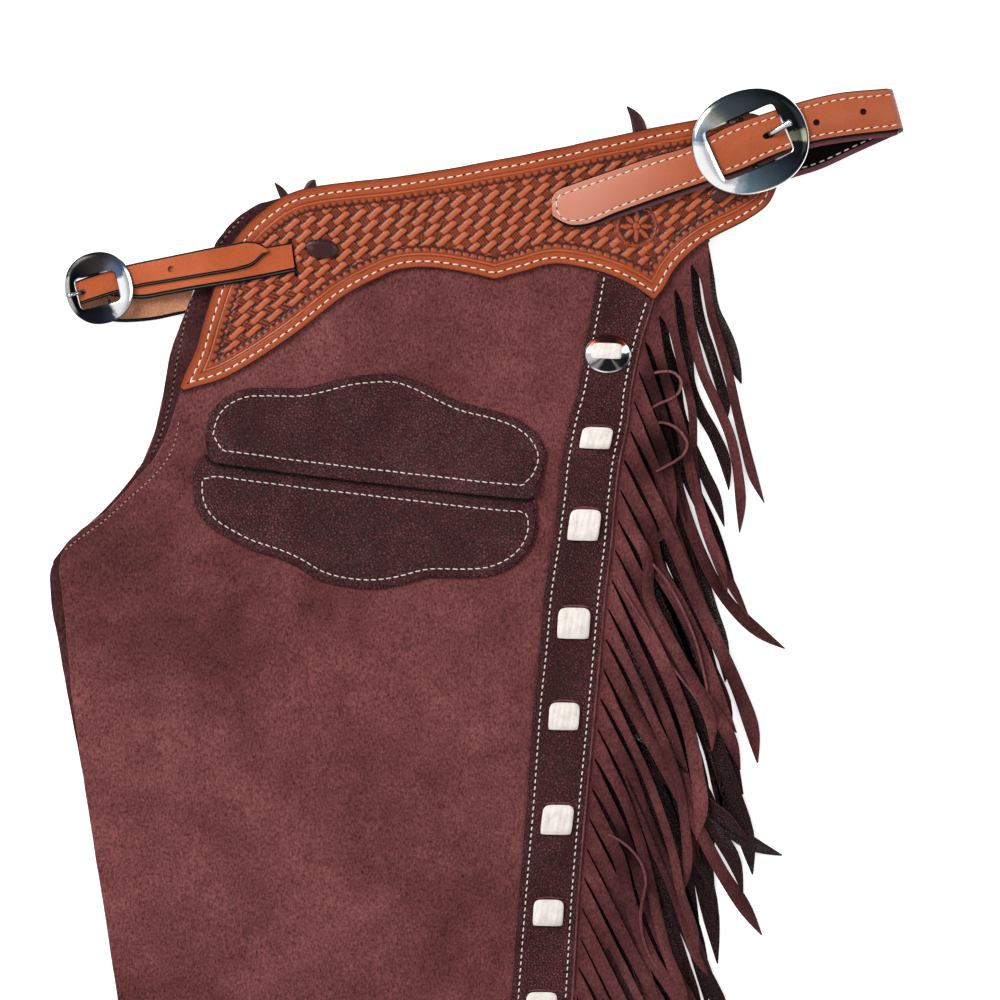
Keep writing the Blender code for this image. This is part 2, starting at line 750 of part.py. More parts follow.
def strip_rows(columns):
    first = []
    for f in columns:
        across = lerp(398.8, 436.0, f)
        first.append((across, yoke_lower(across) + 0.8))
    rows = [first]
    first_down = STRIP[2][0]
    steps = round((HEM - first_down) / STRIP_STEP)
    for step in range(steps + 1):
        down = lerp(first_down, HEM, step / steps)
        rows.append([(lerp(strip_left(down), strip_right(down), f), down) for f in columns])
    return rows


def make_strips(trim):
    rows = strip_rows((0.0, 0.33, 0.67, 1.0))

    def low(r, c, across, down):
        return on_panel(across, down)

    def high(r, c, across, down):
        return on_panel(across, down) + TRIM_LEATHER

    sheet("strip_left", rows, low, high, trim)
    under = [row[::3] for row in rows[:3] + rows[3::2]]
    sheet("strip_right", under, lambda *a: 0.0, lambda *a: TRIM_LEATHER, trim)


def make_pockets(trim):
    columns = (0.0, 0.3, 0.55, 0.74, 0.86, 1.0)
    flap_rows = grid(POCKET_FLAP, columns)
    pocket_rows = grid(POCKET, (0.0, 0.14, 0.4, 0.7, 1.0))

    def flap_low(r, c, across, down):
        lift = (TRIM_LEATHER + SEAM_GAP + 0.2) * smooth((columns[c] - 0.5) / 0.3)
        return on_panel(across, down) + lift

    def flap_high(r, c, across, down):
        return flap_low(r, c, across, down) + TRIM_LEATHER

    def pocket_low(r, c, across, down):
        return on_panel(across, down)

    def pocket_high(r, c, across, down):
        return on_panel(across, down) + TRIM_LEATHER

    sheet("pocket_flap_left", flap_rows, flap_low, flap_high, trim)
    sheet("pocket_left", pocket_rows, pocket_low, pocket_high, trim)


# ---------------------------------------------------------------- band and concho


def make_band(index, across, down, material, width=BAND_WIDTH, length=BAND_LENGTH,
              base=None, rise=BAND_RISE, name=None):
    """Short arch of the band, from the slit above it to the slit below."""
    turn = math.atan2(strip_left(down + 20) - strip_left(down - 20), 40.0)
    rows = []
    for s in (-0.5, -0.34, 0.0, 0.34, 0.5):
        row = []
        for f in (-0.5, 0.0, 0.5):
            u = width * f
            v = length * s
            x = across + u * math.cos(turn) + v * math.sin(turn)
            y = down - u * math.sin(turn) + v * math.cos(turn)
            row.append((x, y))
        rows.append(row)
    heights = (0.0, 0.7, 1.0, 0.7, 0.0)

    def low(r, c, x, y):
        seat = on_panel(x, y) + TRIM_LEATHER + 0.3 if base is None else base(x, y)
        return seat + rise * heights[r]

    def high(r, c, x, y):
        edge = 0.3 if c != 1 else 0.0
        return low(r, c, x, y) + BAND_THICKNESS - edge

    return sheet(name or f"band_{index:02d}", rows, low, high, material)


def make_concho(silver, cord_white):
    across, down = CONCHO_CENTRE
    wide, tall = CONCHO_RADII
    base = on_panel(across, down) + TRIM_LEATHER + 0.5
    sides = 28
    rings = ((1.0, 0.0), (1.0, 0.9), (0.93, 1.5), (0.72, 2.5), (0.4, CONCHO_CROWN))
    points = []
    faces = []
    for reach, height in rings:
        for k in range(sides):
            angle = 2 * math.pi * k / sides
            points.append((across + wide * reach * math.cos(angle),
                           down + tall * reach * math.sin(angle), base + height))
    for ring in range(len(rings) - 1):
        for k in range(sides):
            a = ring * sides + k
            b = ring * sides + (k + 1) % sides
            faces.append((a, b, b + sides, a + sides))
    faces.append(tuple(reversed(range(sides))))
    faces.append(tuple((len(rings) - 1) * sides + k for k in range(sides)))
    new_object("concho_left", points, faces, silver)

    def seat(x, y):
        return base + CONCHO_CROWN + 0.3

    make_band(0, across - 0.5, down - 2.0, cord_white, width=20.0, length=10.0, base=seat,
              rise=0.7, name="concho_band_left")


# ---------------------------------------------------------------- straps and buckles


def buckle(name, centre, turn, outer, window, corner, heights, thickness, bar, material):
    """Broad oval frame with a rectangular window and a bar dipped below the strap."""
    across, down = centre
    angle_turn = math.radians(turn)
    sides = 36

    def place(u, v, z):
        x = across + u * math.cos(angle_turn) + v * math.sin(angle_turn)
        y = down - u * math.sin(angle_turn) + v * math.cos(angle_turn)
        return (x, y, z)

    def super_radius(angle, a, b, power):
        c, s = abs(math.cos(angle)) / a, abs(math.sin(angle)) / b
        return (c ** power + s ** power) ** (-1.0 / power)

    profile = ((0.0, 0.0), (0.0, 0.45), (0.45, 1.0), (1.0, 0.75), (1.0, 0.0))
    points = []
    for k in range(sides):
        angle = 2 * math.pi * (k + 0.5) / sides
        r_out = super_radius(angle, outer[0], outer[1], 2.15)
        r_in = super_radius(angle, window[0], window[1], corner)
        for f, h in profile:
            r = lerp(r_out, r_in, f)
            u, v = r * math.cos(angle), r * math.sin(angle)
            points.append(place(u, v, heights[0] + thickness * h))
    count = len(profile)
    faces = []
    for k in range(sides):
        n = (k + 1) % sides
        for p in range(count):
            q = (p + 1) % count
            faces.append((k * count + p, n * count + p, n * count + q, k * count + q))
    frame = new_object(name, points, faces, material)
    shift, reach, radius = bar
    high = heights[0] + thickness * 0.5
    runs = [((-reach - radius * 0.5, heights[1]), (reach + radius * 0.5, heights[1]))]
    runs += [((side * reach, heights[1]), (side * reach, high)) for side in (-1, 1)]
    for start, end in runs:
        path = [place(shift, *start), place(shift, *end)]
        rod_points, rod_faces = rod_mesh(path, [radius, radius], 8)
        rod = new_object(name + "_bar", rod_points, rod_faces, material)
        apply_boolean(frame, rod, "UNION")
    return frame


def tongue(name, centre, turn, path, radii, material):
    across, down = centre
    angle_turn = math.radians(turn)
    points = []
    for u, z in path:
        x = across + u * math.cos(angle_turn)
        y = down - u * math.sin(angle_turn)
        points.append((x, y, z))
    rod_points, rod_faces = rod_mesh(points, radii, 8)
    return new_object(name, rod_points, rod_faces, material)


def make_back_belt(tan, lining, silver):
    belt = ribbon("back_belt", BACK_BELT, 0.0, BELT_LEATHER, tan)
    inside = ribbon("back_belt_lining", BACK_BELT, BELT_LEATHER + 0.3, BELT_LINING, lining)
    ribbon("back_chape", BACK_CHAPE, 0.0, BACK_CHAPE_DOUBLED, tan)
    turn = math.radians(BACK_BUCKLE_TURN)
    for strap in (belt, inside):
        punch(strap, 511.9, 91.2, 4.8, 10.5, turn, low=12.0)
    for across, down in BELT_HOLES:
        punch(belt, across, down, BELT_HOLE, BELT_HOLE, turn, low=12.0)
        punch(inside, across, down, BELT_HOLE, BELT_HOLE, turn, low=12.0)
    buckle("back_buckle", BACK_BUCKLE, BACK_BUCKLE_TURN, BACK_BUCKLE_OUTER, BACK_BUCKLE_WINDOW,
           9.0, (25.2, 18.5), 3.2, (-1.5, 18.2, 1.5), silver)
    path = ((2.2, 18.4), (8.3, 18.4), (10.4, 20.2), (12.5, 23.4), (14.8, 27.2), (18.5, 29.5),
            (24.0, 30.3), (33.0, 30.2))
    tongue("back_tongue", BACK_BUCKLE, BACK_BUCKLE_TURN, path,
           (1.2, 1.2, 1.2, 1.2, 1.3, 1.5, 1.5, 1.1), silver)


def make_front_strap(tan, silver):
    billet = ribbon("front_billet", FRONT_BILLET, 0.0, STRAP_LEATHER, tan)
    ribbon("front_chape", FRONT_CHAPE, 0.0, STRAP_LEATHER, tan)
    turn = math.radians(FRONT_BUCKLE_TURN)
    punch(billet, 114.0, 179.5, 4.2, 4.2, turn, low=9.0)
    punch(billet, 54.4, 194.9, 3.6, 7.0, turn, low=9.0)
    buckle("front_buckle", FRONT_BUCKLE, FRONT_BUCKLE_TURN, FRONT_BUCKLE_OUTER,
           FRONT_BUCKLE_WINDOW, 9.0, (13.6, 9.4), 2.4, (4.5, 11.6, 1.1), silver)
    path = ((2.9, 9.4), (-8.6, 9.6), (-10.4, 10.6), (-11.7, 13.0), (-13.2, 16.0), (-15.0, 17.3),
            (-18.5, 17.6), (-21.8, 17.4))
    tongue("front_tongue", FRONT_BUCKLE, FRONT_BUCKLE_TURN, path,
           (0.8, 0.8, 0.8, 0.8, 0.9, 1.0, 1.1, 0.9), silver)


def make_laces(lace):
    for name, across, down, half_length, half_width, turn in KNOTS:
        turn = math.radians(turn)
        base = on_panel(across, down) + YOKE_LEATHER + 0.35
        rows = []
        for s in (-1.0, -0.8, -0.3, 0.3, 0.8, 1.0):
            row = []
            narrow = 0.72 if abs(s) == 1.0 else 1.0
            for f in (-1.0, -0.7, 0.0, 0.7, 1.0):
                u, v = half_length * s, half_width * f * narrow
                row.append((across + u * math.cos(turn) + v * math.sin(turn),
                            down - u * math.sin(turn) + v * math.cos(turn)))
            rows.append(row)
        crown = (1.6, 2.6, 3.0, 3.0, 2.6, 1.6)
        edge = (1.1, 0.35, 0.0, 0.35, 1.1)
        sheet(name, rows, lambda r, c, x, y: base,
              lambda r, c, x, y: base + crown[r] - edge[c], lace)
    for name, x0, y0, x1, y1, x2, y2, width in LACE_ENDS:
        stations = []
        half = width / 2
        for x, y, part in ((x0, y0, 1.0), (x1, y1, 0.85), (x2, y2, 0.12)):
            stations.append((x - half * part, y, x + half * part, y + 1.0, LACE_LEVEL, 0.0))
        ribbon(name, stations, 0.0, LACE_THICKNESS, lace)


# ---------------------------------------------------------------- fringe


class Pile:
    """Height field of what already lies beside the legs."""

    def __init__(self):
        self.cells = {}
        self.parallel = {}

    def top(self, key, step):
        """What a stretch of a strand must clear; parallel stretches tile side by side."""
        if step < 2:
            return self.cells.get(key, 0.0)
        return max(self.cells.get(key, 0.0), self.parallel.get(key, 0.0))

    def finish_fringe(self):
        for key, level in self.parallel.items():
            self.cells[key] = max(self.cells.get(key, 0.0), level)
        self.parallel = {}

    def walk(self, a, b, half_a, half_b):
        """Cells under a strand's segment, each with its least and greatest share of the way."""
        length = max((b - a).length, 1.0)
        steps = int(length / (FIELD_CELL * 0.6)) + 1
        width = max(half_a.length, half_b.length) + FIELD_CELL / 4
        across = int(2 * width / (FIELD_CELL * 0.6)) + 1
        found = {}
        for i in range(steps + 1):
            t = i / steps
            middle = a.lerp(b, t)
            half = half_a.lerp(half_b, t)
            reach = half.normalized() * (half.length + FIELD_CELL / 4)
            for j in range(across + 1):
                spot = middle + reach * (2.0 * j / across - 1.0)
                key = (round(spot.x / FIELD_CELL), round(spot.y / FIELD_CELL))
                low, high = found.get(key, (1.0, 0.0))
                found[key] = (min(low, t), max(high, t))
        return found

    def clears(self, spans, heights):
        """Whether a strand at these heights passes over all that it crosses."""
        for step, cells in enumerate(spans):
            for key, (low, high) in cells.items():
                need = self.top(key, step)
                if not need or (step == 0 and low < 0.3):
                    continue
                need += FRINGE_CLEAR
                if min(lerp(heights[step], heights[step + 1], low),
                       lerp(heights[step], heights[step + 1], high)) < need:
                    return False
        return True

    def settle(self, spans, heights, runs):
        """Let the stations down from the tip to the root as far as the crossings allow."""
        for _ in range(3):
            for k in range(len(heights) - 1, 0, -1):
                fall = STEEPEST * runs[k - 1] * (0.3 if k == 1 else 1.0)
                level = max(FRINGE_FLOOR, heights[k - 1] - fall)
                for key, shares in spans[k - 1].items():
                    need = self.top(key, k - 1)
                    if need:
                        need += FRINGE_CLEAR
                        for t in shares:
                            if t > 0.1:
                                level = max(level, heights[k - 1] + (need - heights[k - 1]) / t)
                if k < len(heights) - 1:
                    for key, shares in spans[k].items():
                        need = self.top(key, k)
                        if need:
                            need += FRINGE_CLEAR
                            for t in shares:
                                if t < 0.9:
                                    level = max(level, (need - t * heights[k + 1]) / (1.0 - t))
                heights[k] = min(heights[k], level)

    def lay(self, step, cells, z_a, z_b):
        field = self.parallel if step < 2 else self.cells
        for key, (low, high) in cells.items():
            level = max(lerp(z_a, z_b, low), lerp(z_a, z_b, high)) + FRINGE_THICKNESS
            if step == 0:
                level += (LEG_LEATHER - FRINGE_THICKNESS) * (1.0 - low)
            field[key] = max(field.get(key, 0.0), level)


def root_line():
    """Outer edge of the fringe header from under the yoke's back point to the hem."""
    points = [Vector(spot) for spot in FRINGE_TOP]
    down = 227.0
    while down < HEM - 12.0:
        points.append(Vector((strip_right(down) + HEADER_OUTER, down)))
        down += 6.0
    return points


def roots(offset):
    """Evenly pitched root edges along the root line, the first one shorter by the offset."""
    line = root_line()
    marks = [line[0]]
    carried = offset
    for a, b in zip(line, line[1:]):
        length = (b - a).length
        while carried + length >= FRINGE_PITCH:
            need = FRINGE_PITCH - carried
            a = a.lerp(b, need / length)
            length -= need
            carried = 0.0
            marks.append(a)
        carried += length
    return marks


def strand_heading(share):
    """Lie of the strands in degrees from straight down, at this share of the root line."""
    return 10.0 + 17.0 * smooth(share / 0.17)


def strand_plan(share, draw, mirror):
    """Turn past the root stretch, further bend, wave and length of one strand."""
    stray = draw.uniform(-8.0, 8.0)
    bend = draw.uniform(-8.0, 12.0)
    wave = draw.uniform(-7.0, 7.0)
    length = draw.uniform(168.0, 212.0) + 14.0 * smooth(share / 0.2)
    if mirror:
        stray -= 2.0
        bend -= 12.0
        length += 14.0
    return stray, bend, wave, length


def strand_stations(start, edge, share, plan, parts, lean):
    """Middle and half width at the ends of each stretch of a strand, and the stretches."""
    stray, bend, wave, length = plan
    free = length - ROOT_RUN - PARALLEL_RUN - TIP_RUN
    runs = [ROOT_RUN, PARALLEL_RUN] + [free / (parts - 3)] * (parts - 3) + [TIP_RUN]
    lie = math.radians(strand_heading(share))
    along_root = edge.normalized()
    spacing = FRINGE_PITCH * abs(along_root.x * math.cos(lie) - along_root.y * math.sin(lie))
    width = min(FRINGE_WIDTH, spacing - FRINGE_SLIT) * (0.76 + 0.24 * smooth(share / 0.18))
    stations = [(start.copy(), edge)]
    spot = start
    gone = 0.0
    for step, run in enumerate(runs):
        angle = strand_heading(share)
        if step > 1:
            t = (gone + run / 2 - ROOT_RUN - PARALLEL_RUN) / (length - ROOT_RUN - PARALLEL_RUN)
            angle += stray * smooth(t * 3.0) + bend * t + wave * math.sin(2 * math.pi * t)
        angle = math.radians(angle)
        forward = Vector((math.sin(angle), math.cos(angle)))
        across = Vector((forward.y, -forward.x)) * (width / 2)
        if across.dot(edge) < 0:
            across = -across
        spot = spot + forward * run
        gone += run
        if step == len(runs) - 1:
            stations.append((spot + across * lean, across * 0.08))
        else:
            stations.append((spot.copy(), across))
    return stations, runs


def through(points, t):
    """Smooth curve through plan points, read at the share t of the way."""
    place = t * (len(points) - 1)
    index = min(int(place), len(points) - 2)
    t = place - index
    p1, p2 = points[index], points[index + 1]
    p0 = points[index - 1] if index else p1 * 2 - p2
    p3 = points[index + 2] if index + 2 < len(points) else p2 * 2 - p1
    return (p1 * 2 + (p2 - p0) * t + (p0 * 2 - p1 * 5 + p2 * 4 - p3) * t ** 2
            + (p1 * 3 - p0 - p2 * 3 + p3) * t ** 3) / 2


def lay_through(stations, runs, spots, lean):
    """Lead a strand through the given points after its two first stretches."""
    points = [stations[1][0], stations[2][0]] + [Vector(spot) for spot in spots]
    dense = [through(points, 1.0 / (len(points) - 1) + t / 200.0 * (1.0 - 1.0 / (len(points) - 1)))
             for t in range(201)]
    gone = [0.0]
    for a, b in zip(dense, dense[1:]):
        gone.append(gone[-1] + (b - a).length)
    parts = len(runs) - 2
    tip = min(TIP_RUN, gone[-1] / parts)
    marks = [(gone[-1] - tip) * (k + 1) / (parts - 1) for k in range(parts - 1)] + [gone[-1]]
    width = stations[1][1].length
    sign = 1.0 if stations[1][1].x > 0 else -1.0
    new_stations = stations[:3]
    new_runs = runs[:2]
    before = 0.0
    for k, mark in enumerate(marks):
        index = min(max(i for i, far in enumerate(gone) if far <= mark + 1e-6), 199)
        forward = (dense[index + 1] - dense[max(index - 2, 0)]).normalized()
        across = Vector((forward.y, -forward.x)) * (width * sign)
        if across.dot(new_stations[-1][1]) < 0:
            across = -across
        spot = dense[index].lerp(dense[index + 1],
                                 (mark - gone[index]) / max(gone[index + 1] - gone[index], 1e-6))
        if k == len(marks) - 1:
            new_stations.append((spot + across * lean, across * 0.08))
        else:
            new_stations.append((spot, across))
        new_runs.append(mark - before)
        before = mark
    return new_stations, new_runs


def make_fringe(name, pile, base, material, draw, mirror, parts, first_layer):
    by_hand = RIGHT_LAID if mirror else LEFT_LAID
    marks = roots(FRINGE_PITCH * 0.45 if mirror else 0.0)
    count = len(marks) - 1
    header = LEG_LEATHER
    points = []
    faces = []
    outer = []
    for index, mark in enumerate(marks):
        ahead = marks[min(index + 1, count)]
        behind = marks[max(index - 1, 0)]
        forward = (ahead - behind).normalized()
        side = Vector((forward.y, -forward.x))
        if side.x < 0:
            side = -side
        inner = mark - side * (HEADER_INNER + HEADER_OUTER)
        z = base(mark.x, mark.y)
        for slide in (-FRINGE_SLIT, FRINGE_SLIT):
            spot = mark + forward * slide
            ids = []
            for place in (inner + forward * slide, spot):
                for lift in (0.0, header):
                    ids.append(len(points))
                    points.append((place.x, place.y, z + lift))
            outer.append(ids)
    for a, b in zip(outer, outer[1:]):
        faces.append((a[0], a[2], b[2], b[0]))
        faces.append((a[1], b[1], b[3], a[3]))
        faces.append((a[0], b[0], b[1], a[1]))
    for a, b in zip(outer[::2], outer[1::2]):
        faces.append((a[2], a[3], b[3], b[2]))
    faces.append((outer[0][0], outer[0][1], outer[0][3], outer[0][2]))
    faces.append((outer[-1][0], outer[-1][2], outer[-1][3], outer[-1][1]))

    order = [(place, i) for place, turn in enumerate(LAYING_ORDER)
             for i in range(turn, count, len(LAYING_ORDER))]
    for place, index in order:
        start_ids, end_ids = outer[2 * index + 1], outer[2 * index + 2]
        a, b = Vector(points[start_ids[2]][:2]), Vector(points[end_ids[2]][:2])
        spot = (a + b) / 2
        root_low = base(spot.x, spot.y)
        layer = first_layer + FRINGE_LAYER * place
        tries = 0
        while True:
            lean = 0.75 if index % 4 else -0.75
            plan = (0.0, 0.0, 0.0, 190.0)
            if index not in by_hand:
                plan = strand_plan(index / count, draw, mirror)
            stations, runs = strand_stations(spot, (b - a) / 2, index / count, plan, parts, lean)
            if index in by_hand:
                stations, runs = lay_through(stations, runs, by_hand[index], lean)
            spans = []
            for (p, hp), (q, hq) in zip(stations, stations[1:]):
                spans.append(pile.walk(p, q, hp, hq))
            heights = [root_low, root_low + 0.4] + [layer] * (len(stations) - 2)
            if pile.clears(spans, heights):
                break
            tries += 1
            if tries > STRAND_TRIES or index in by_hand:
                layer += 0.5
            if tries > 2 * STRAND_TRIES:
                break
        pile.settle(spans, heights, runs)
        for step, cells in enumerate(spans):
            pile.lay(step, cells, heights[step], heights[step + 1])
        ring = [start_ids[2], end_ids[2], end_ids[3], start_ids[3]]
        for step in range(1, len(stations)):
            middle, half = stations[step]
            thick = FRINGE_THICKNESS
            if step == len(stations) - 1:
                thick = 0.9
            new_ring = []
            for sign, lift in ((-1, 0.0), (1, 0.0), (1, thick), (-1, thick)):
                spot = middle + half * sign
                new_ring.append(len(points))
                points.append((spot.x, spot.y, heights[step] + lift))
            for k in range(4):
                n = (k + 1) % 4
                faces.append((ring[k], ring[n], new_ring[n], new_ring[k]))
            ring = new_ring
        faces.append(tuple(ring))
    pile.finish_fringe()
    return new_object(name, points, faces, material)


def make_fringes(suede, dark):
    pile = Pile()
    draw = random.Random(14)
    make_fringe("fringe_right", pile, ground, dark, draw, True, 7, 0.6)

    def upper(across, down):
        return panel_top(across, down) - LEG_LEATHER

    make_fringe("fringe_left", pile, upper, suede, draw, False, 8, 7.6)


def centre_lay():
    """Move the whole lay so that its box stands centred on the origin."""
    pieces = list(bpy.data.objects)
    spots = [vertex.co for item in pieces for vertex in item.data.vertices]
    middle_x = (min(p.x for p in spots) + max(p.x for p in spots)) / 2
    middle_y = (min(p.y for p in spots) + max(p.y for p in spots)) / 2
    for item in pieces:
        for vertex in item.data.vertices:
            vertex.co.x -= middle_x
            vertex.co.y -= middle_y


def make_all():
    for item in list(bpy.data.objects):
        bpy.data.objects.remove(item)

    suede = make_material("suede burgundy", (0.16, 0.05, 0.055), 0.95)
    suede_dark = make_material("suede burgundy underneath", (0.07, 0.024, 0.026), 0.9)
    tooled = make_material("tooled yoke leather", (0.42, 0.12, 0.035), 0.45)
    tooled_under = make_material("yoke leather underneath", (0.42, 0.12, 0.035), 0.5)
    trim = make_material("oxblood trim leather", (0.045, 0.013, 0.015), 0.5)
    pocket_leather = make_material("oxblood pocket leather", (0.045, 0.013, 0.015), 0.5)
    rawhide = make_material("rawhide band", (0.75, 0.68, 0.6), 0.8)
    silver = make_material("polished silver plate", (0.75, 0.75, 0.74), 0.15, 1.0)
    belt_tan = make_material("belt leather", (0.45, 0.15, 0.06), 0.45)
    lining = make_material("belt lining", (0.045, 0.013, 0.015), 0.55)
    lace = make_material("oxblood lace", (0.05, 0.015, 0.016), 0.5)

    make_legs(suede, suede_dark)
    make_yokes(tooled, tooled_under)
    make_strips(trim)
    make_pockets(pocket_leather)
    for index, (across, down) in enumerate(BAND_CENTRES):
        make_band(index + 1, across, down, rawhide)
    make_concho(silver, rawhide)
    make_back_belt(belt_tan, lining, silver)
    make_front_strap(belt_tan, silver)
    make_laces(lace)
    make_fringes(suede, suede_dark)
    centre_lay()


make_all()
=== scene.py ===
# Fringed leather chaps, folded in half and laid flat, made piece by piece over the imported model.
# Plan measures are millimetres on the lay: "across" runs from the front edge to the fringe and
# "down" from the waist to the hem. Heights are millimetres above the floor.

import math
import random

import bmesh
import bpy
import numpy as np
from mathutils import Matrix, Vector
from mathutils.bvhtree import BVHTree


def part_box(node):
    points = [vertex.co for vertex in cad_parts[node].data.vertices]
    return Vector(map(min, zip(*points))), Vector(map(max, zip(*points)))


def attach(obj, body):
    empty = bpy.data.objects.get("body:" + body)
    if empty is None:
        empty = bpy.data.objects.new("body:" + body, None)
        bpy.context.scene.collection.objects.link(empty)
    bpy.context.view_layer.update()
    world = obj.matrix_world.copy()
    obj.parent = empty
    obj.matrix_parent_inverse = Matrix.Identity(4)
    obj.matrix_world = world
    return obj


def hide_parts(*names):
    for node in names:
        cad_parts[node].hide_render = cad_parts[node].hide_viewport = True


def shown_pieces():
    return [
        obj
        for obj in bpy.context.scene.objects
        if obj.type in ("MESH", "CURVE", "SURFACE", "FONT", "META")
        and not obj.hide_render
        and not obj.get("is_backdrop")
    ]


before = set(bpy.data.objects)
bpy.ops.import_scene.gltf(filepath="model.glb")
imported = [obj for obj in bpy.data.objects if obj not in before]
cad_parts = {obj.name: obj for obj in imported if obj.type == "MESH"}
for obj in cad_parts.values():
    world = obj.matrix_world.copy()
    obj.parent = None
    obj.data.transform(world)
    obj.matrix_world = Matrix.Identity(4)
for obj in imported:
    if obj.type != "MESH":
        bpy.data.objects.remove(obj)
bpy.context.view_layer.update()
conchoLow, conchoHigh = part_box("concho_left")
conchoCentre = (405.0, 236.0)       # across, down: its place ties both frames together
originAcross = conchoCentre[0] - 500.0 * (conchoLow[0] + conchoHigh[0])
originDown = conchoCentre[1] + 500.0 * (conchoLow[1] + conchoHigh[1])
print("frame loaded", len(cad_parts), "nodes")

# the cut of the leather, point by point on the lay

hem = 1066.0
stripEdges = [  # down, left, right
    (181, 398.5, 441), (204, 394.5, 435), (229, 390, 427.5), (261, 384.5, 421), (281, 379, 419),
    (308, 374, 413.5), (333, 371.5, 410.5), (363, 367.5, 408), (397, 362.5, 404),
    (432, 359.5, 401), (470, 355.5, 397.5), (533, 351, 391.5), (600, 345.5, 386),
    (667, 340.5, 382), (867, 327, 368), (1066, 313, 354),
]
frontTop = [  # front_across, front_down, seam_across, seam_down
    (203, 132.5, 455, 90), (180, 153, 470, 108), (161, 176, 466, 130), (148, 204, 455, 151),
    (137, 233.5, 430, 181), (120.5, 261, None, 204), (113.5, 282.5, None, 234),
    (102.5, 306, None, 276), (92, 317, None, 302), (70, 341.5, None, 332), (50.5, 356, None, 358),
    (39.5, 371.5, None, 381), (41, 396.5, None, 404), (44.5, 431, None, 436),
]
frontLeg = [  # down, front_across
    (469, 48), (508, 53.5), (556, 60.5), (605, 68.5), (667, 78), (733, 87.5), (800, 96),
    (867, 103.5), (933, 110), (1000, 115.5), (1066, 120),
]
underTop = [  # front_across, front_down, seam_across, seam_down
    (190, 131, 455, 90), (168.5, 137.5, 470, 108), (147.5, 156, 466, 130), (135, 180, 455, 151),
    (123, 208.5, 430, 181), (112.5, 238, None, 204), (106.5, 273, None, 234),
    (95.5, 306, None, 276), (84, 323, None, 302), (64, 344.5, None, 332), (45, 361, None, 358),
    (34, 376, None, 381), (33, 397, None, 404), (38, 427, None, 436),
]
underLeg = [  # down, front_across
    (464, 44.5), (513, 54), (605, 69.5), (733, 88.5), (867, 104.5), (1063, 121),
]
yokeShape = [  # upper_across, upper_down, lower_across, lower_down
    (119.5, 258.5, 121, 261), (123, 249, 131, 258), (128.5, 237.5, 145, 254),
    (135.5, 214.5, 168, 242), (141.5, 195.5, 183.5, 232), (148.5, 177.5, 200.5, 220),
    (156, 160.5, 217.5, 206.5), (165.5, 149, 226.5, 199.5), (177, 139, 234.5, 194.5),
    (187, 132, 243.5, 189.5), (198.5, 127, 252, 185.5), (212, 124, 260.5, 181.5),
    (235, 121, 272, 179), (258.5, 118.5, 285.5, 178.5), (289, 114, 302.5, 180.5),
    (307.5, 111, 318, 183.5), (320, 108.5, 330, 186.5), (334, 106, 342, 183),
    (348, 103.5, 351.5, 180.5), (362, 100.5, 361, 177.5), (378, 97.5, 370, 176),
    (393, 94, 381, 177), (408, 91, 393.5, 179.5), (422, 88, 406.5, 183.5),
    (436, 85, 421.5, 190.5), (452, 82, 436, 200.5), (466, 79.5, 441.5, 194),
    (479, 77, 450, 179.5), (492, 75.5, 469.5, 161.5), (503, 76, 480, 155.5),
    (512, 80, 498, 146.5), (518.5, 90, 512.5, 135.5), (520.5, 104, 518.5, 122.5),
]
flapShape = [  # upper_across, upper_down, lower_across, lower_down
    (136.5, 291, 137.5, 294.5), (138.5, 281, 142, 307.5), (142, 273, 148, 309),
    (148, 266.5, 155, 310), (162.5, 259.5, 170, 312), (180, 258.5, 188, 314.5),
    (201, 258.5, 208, 317), (216, 255.5, 225, 319), (231, 251.5, 241, 321),
    (247.5, 249.5, 256, 322.5), (264.5, 249.5, 272, 324.5), (278, 254, 286, 326),
    (293, 261.5, 300, 327.5), (307.5, 268, 312, 329), (332.5, 274.5, 326, 330.5),
    (348, 281, 338, 331.5), (358, 289.5, 346, 332), (364, 301.5, 354, 331.5),
    (363, 314, 359.5, 322.5),
]
pocketShape = [  # upper_across, upper_down, lower_across, lower_down
    (128.5, 318, 128.5, 326), (130, 310.5, 130.5, 338), (137, 303, 137, 348.5),
    (146, 303, 150.5, 358), (160, 305, 166, 366), (176, 307, 184.5, 372), (195, 309.5, 198, 378),
    (210, 311.5, 212, 386.5), (224, 313, 231, 391.5), (246, 315.5, 252.5, 392.5),
    (262, 317.5, 268, 390), (280, 319.5, 284.5, 385.5), (300, 322, 307.5, 385.5),
    (318, 324, 327.5, 384), (334, 325.5, 341.5, 378), (346, 327, 351, 370),
    (355, 330, 356.5, 360.5), (357.5, 340, 358.5, 352),
]
bandCentres = [  # across, down
    (397.5, 292), (389.5, 350), (382.5, 415.5), (376, 477.5), (371.5, 546.5), (365.5, 608.5),
    (360.5, 671), (356, 734), (351.5, 797), (347, 860), (343, 923), (339, 986),
]
